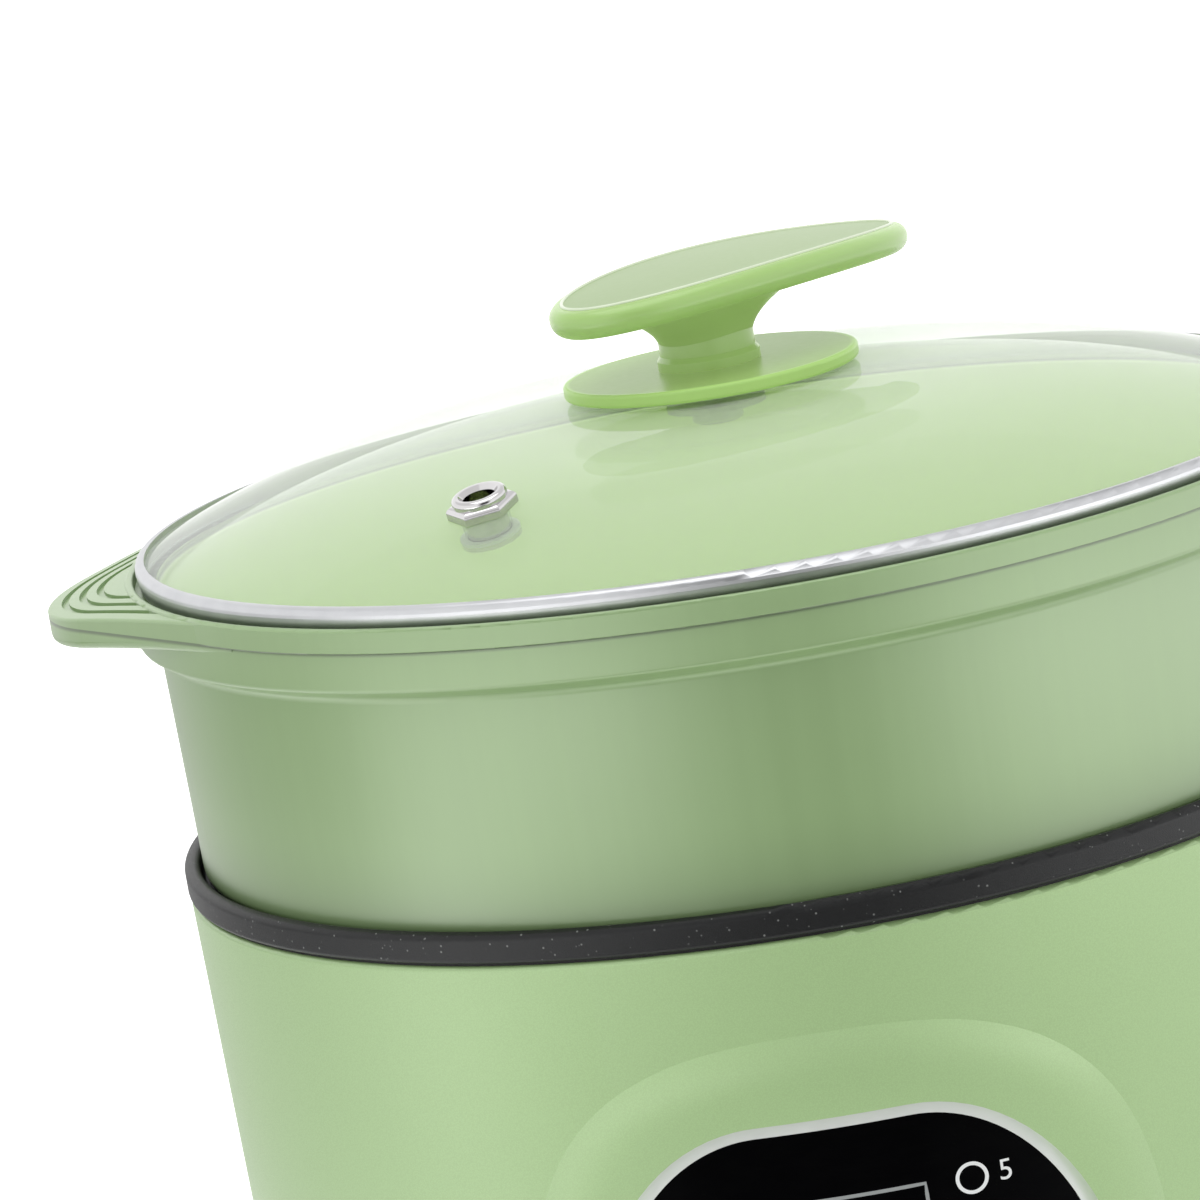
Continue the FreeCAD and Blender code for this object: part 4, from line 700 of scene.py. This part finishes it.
def seen_plainly(finish):
    """1 for what the camera sees, directly or in metal and glass, else 0."""
    seen = 0
    for kind in ("Is Camera Ray", "Is Glossy Ray", "Is Transmission Ray"):
        seen = finish.node("ShaderNodeLightPath", {}, {}, kind) + seen
    return finish.node("ShaderNodeClamp", {}, {"Value": seen})


floor_white = Finish("floor_white", 0.9, Specular_IOR_Level=0.1)
floor_white.coloured(srgb(245, 245, 245))
floor_glow = floor_white.node("ShaderNodeEmission", {},
                              {"Color": (1, 1, 1, 1), "Strength": seen_plainly(floor_white) * floor_lift})
floor_white.shown(floor_white.node("ShaderNodeAddShader", {}, {0: floor_white.plain(), 1: floor_glow}))
floor.data.materials.append(floor_white.material)


class Sky(Finish):
    """The world's nodes, written in the same way as a finish's."""

    def __init__(self, world):
        world.use_nodes = True
        self.tree = world.node_tree


world = bpy.data.worlds.new("studio")
bpy.context.scene.world = world
sky = Sky(world)
background = sky.tree.nodes["Background"]
sky.feed(background, "Color", (1, 1, 1, 1))
sky.feed(background, "Strength", sky_soft + seen_plainly(sky) * (1 - sky_soft))

top = bpy.data.lights.new("box_top", "AREA")
top.shape = "SQUARE"
top.size = top_size
top.energy = top_level * pi * top_size ** 2
top_box = added("box_top", top)
top_box.location = top_place
top_box.visible_camera = False
top_box.visible_transmission = False


# --- Screen ---------------------------------------------------------------------------------------
# A round paper screen about the pot that only shiny surfaces see. Its five bands, one above the other,
# are mirrored by the body, the tray's wall, its flange with the steel rim, the knob's neck, and all that
# faces up. One band fades into the next over each part. Levels pair an angle, 0 in front, and a brightness.

screen_radius = 0.3
screen_height = 0.42
low_part = (0.098, 0.104)
rim_part = (0.141, 0.147)
neck_part = (0.166, 0.174)
neck_level = 1.4
upper_part = (0.198, 0.208)
low_levels = ((-180, 1.0), (-110, 0.9), (-92, 1.0), (-76, 1.6), (-60, 3.2), (-46, 1.8), (-33, 0.4),
              (-20, 0.0), (12, 0.0), (30, 0.3), (48, 0.9), (62, 1.1), (84, 1.7), (110, 1.4), (180, 1.0))
high_levels = ((-180, 1.0), (-122, 0.7), (-96, 0.1), (-76, 0.0), (-60, 2.4), (-40, 4.0), (-22, 3.6),
               (-8, 0.8), (2, 0.0), (14, 0.0), (26, 1.8), (38, 4.2), (52, 4.6), (72, 3.6), (110, 1.6),
               (180, 1.0))
rim_levels = ((-180, 1.0), (-122, 1.1), (-75, 1.4), (-36, 1.4), (-18, 0.8), (-4, 0.2), (10, 0.2),
              (28, 1.9), (45, 2.0), (64, 1.7), (90, 1.6), (180, 1.0))
upper_levels = ((-180, 1.3), (-20, 1.3), (-6, 0.1), (14, 0.1), (28, 1.3), (180, 1.3))
brightest = max(level for angle, level in low_levels + high_levels + rim_levels + upper_levels)

screen_paper = Finish("screen_paper", 0.9, Specular_IOR_Level=0.0)
screen_paper.coloured((0, 0, 0, 1))
screen_x, screen_y, height = screen_paper.parts()[:3]
azimuth = screen_paper.node("ShaderNodeMath", {"operation": "ARCTAN2"}, {0: screen_x, 1: screen_y * -1})


def graded(levels):
    """Brightness round the screen from pairs of an angle in degrees and a level."""
    stops = [((angle + 180) / 360, (level / brightest,) * 3 + (1.0,)) for angle, level in levels]
    return screen_paper.node("ShaderNodeValToRGB", {"stops": stops}, {0: azimuth * (0.5 / pi) + 0.5})


bright = graded(low_levels)
for part, band in ((low_part, graded(high_levels)), (rim_part, graded(rim_levels)),
                   (neck_part, shaded((1.0, 1.0, 1.0), neck_level / brightest)),
                   (upper_part, graded(upper_levels))):
    bright = screen_paper.mixed(screen_paper.between(height, *part), bright, band)
screen_paper.shown(screen_paper.node("ShaderNodeEmission", {}, {"Color": bright, "Strength": brightest}))

screen_form = bmesh.new()
bmesh.ops.create_cone(screen_form, cap_ends=False, segments=round_steps, radius1=screen_radius,
                      radius2=screen_radius, depth=screen_height)
screen = added("screen", meshed("screen", screen_form))
screen.data.transform(Matrix.Translation((0, 0, screen_height / 2)))
screen.data.materials.append(screen_paper.material)
screen.visible_camera = False
screen.visible_diffuse = False
screen.visible_transmission = False
screen.visible_shadow = False


# --- Camera ---------------------------------------------------------------------------------------
# A long lens in front of the pot, a little above the lid, tilted to one side. The middle of the lid's
# rim stands right of and above the middle of the picture.

picture = 1200
lens_length = 170.43
sensor_width = 36.0
camera_distance = 0.9676
camera_elevation = radians(9.82)
camera_roll = radians(-9.16)
lid_at = (725.3, 458.8)

focal = lens_length / sensor_width * picture
target = Vector((0, 0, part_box("lid_ring")[1][2]))
back = Vector((0, -cos(camera_elevation), sin(camera_elevation)))
ahead = -back
right = Vector((1, 0, 0))
up = right.cross(ahead)
rolled_right = right * cos(camera_roll) + up * sin(camera_roll)
rolled_up = up * cos(camera_roll) - right * sin(camera_roll)
aim = Vector(((lid_at[0] - picture / 2) / focal, (picture / 2 - lid_at[1]) / focal, 1)).normalized()
seen_way = rolled_right * aim.x + rolled_up * aim.y + ahead * aim.z
turn = seen_way.rotation_difference(ahead)
axes = Matrix((turn @ rolled_right, turn @ rolled_up, turn @ back)).transposed()

camera_data = bpy.data.cameras.new("camera")
camera_data.lens = lens_length
camera_data.sensor_fit = "HORIZONTAL"
camera_data.sensor_width = sensor_width
camera = added("camera", camera_data)
camera.matrix_world = Matrix.Translation(target + back * camera_distance) @ axes.to_4x4()
bpy.context.scene.camera = camera
bpy.context.scene.view_settings.view_transform = "Standard"
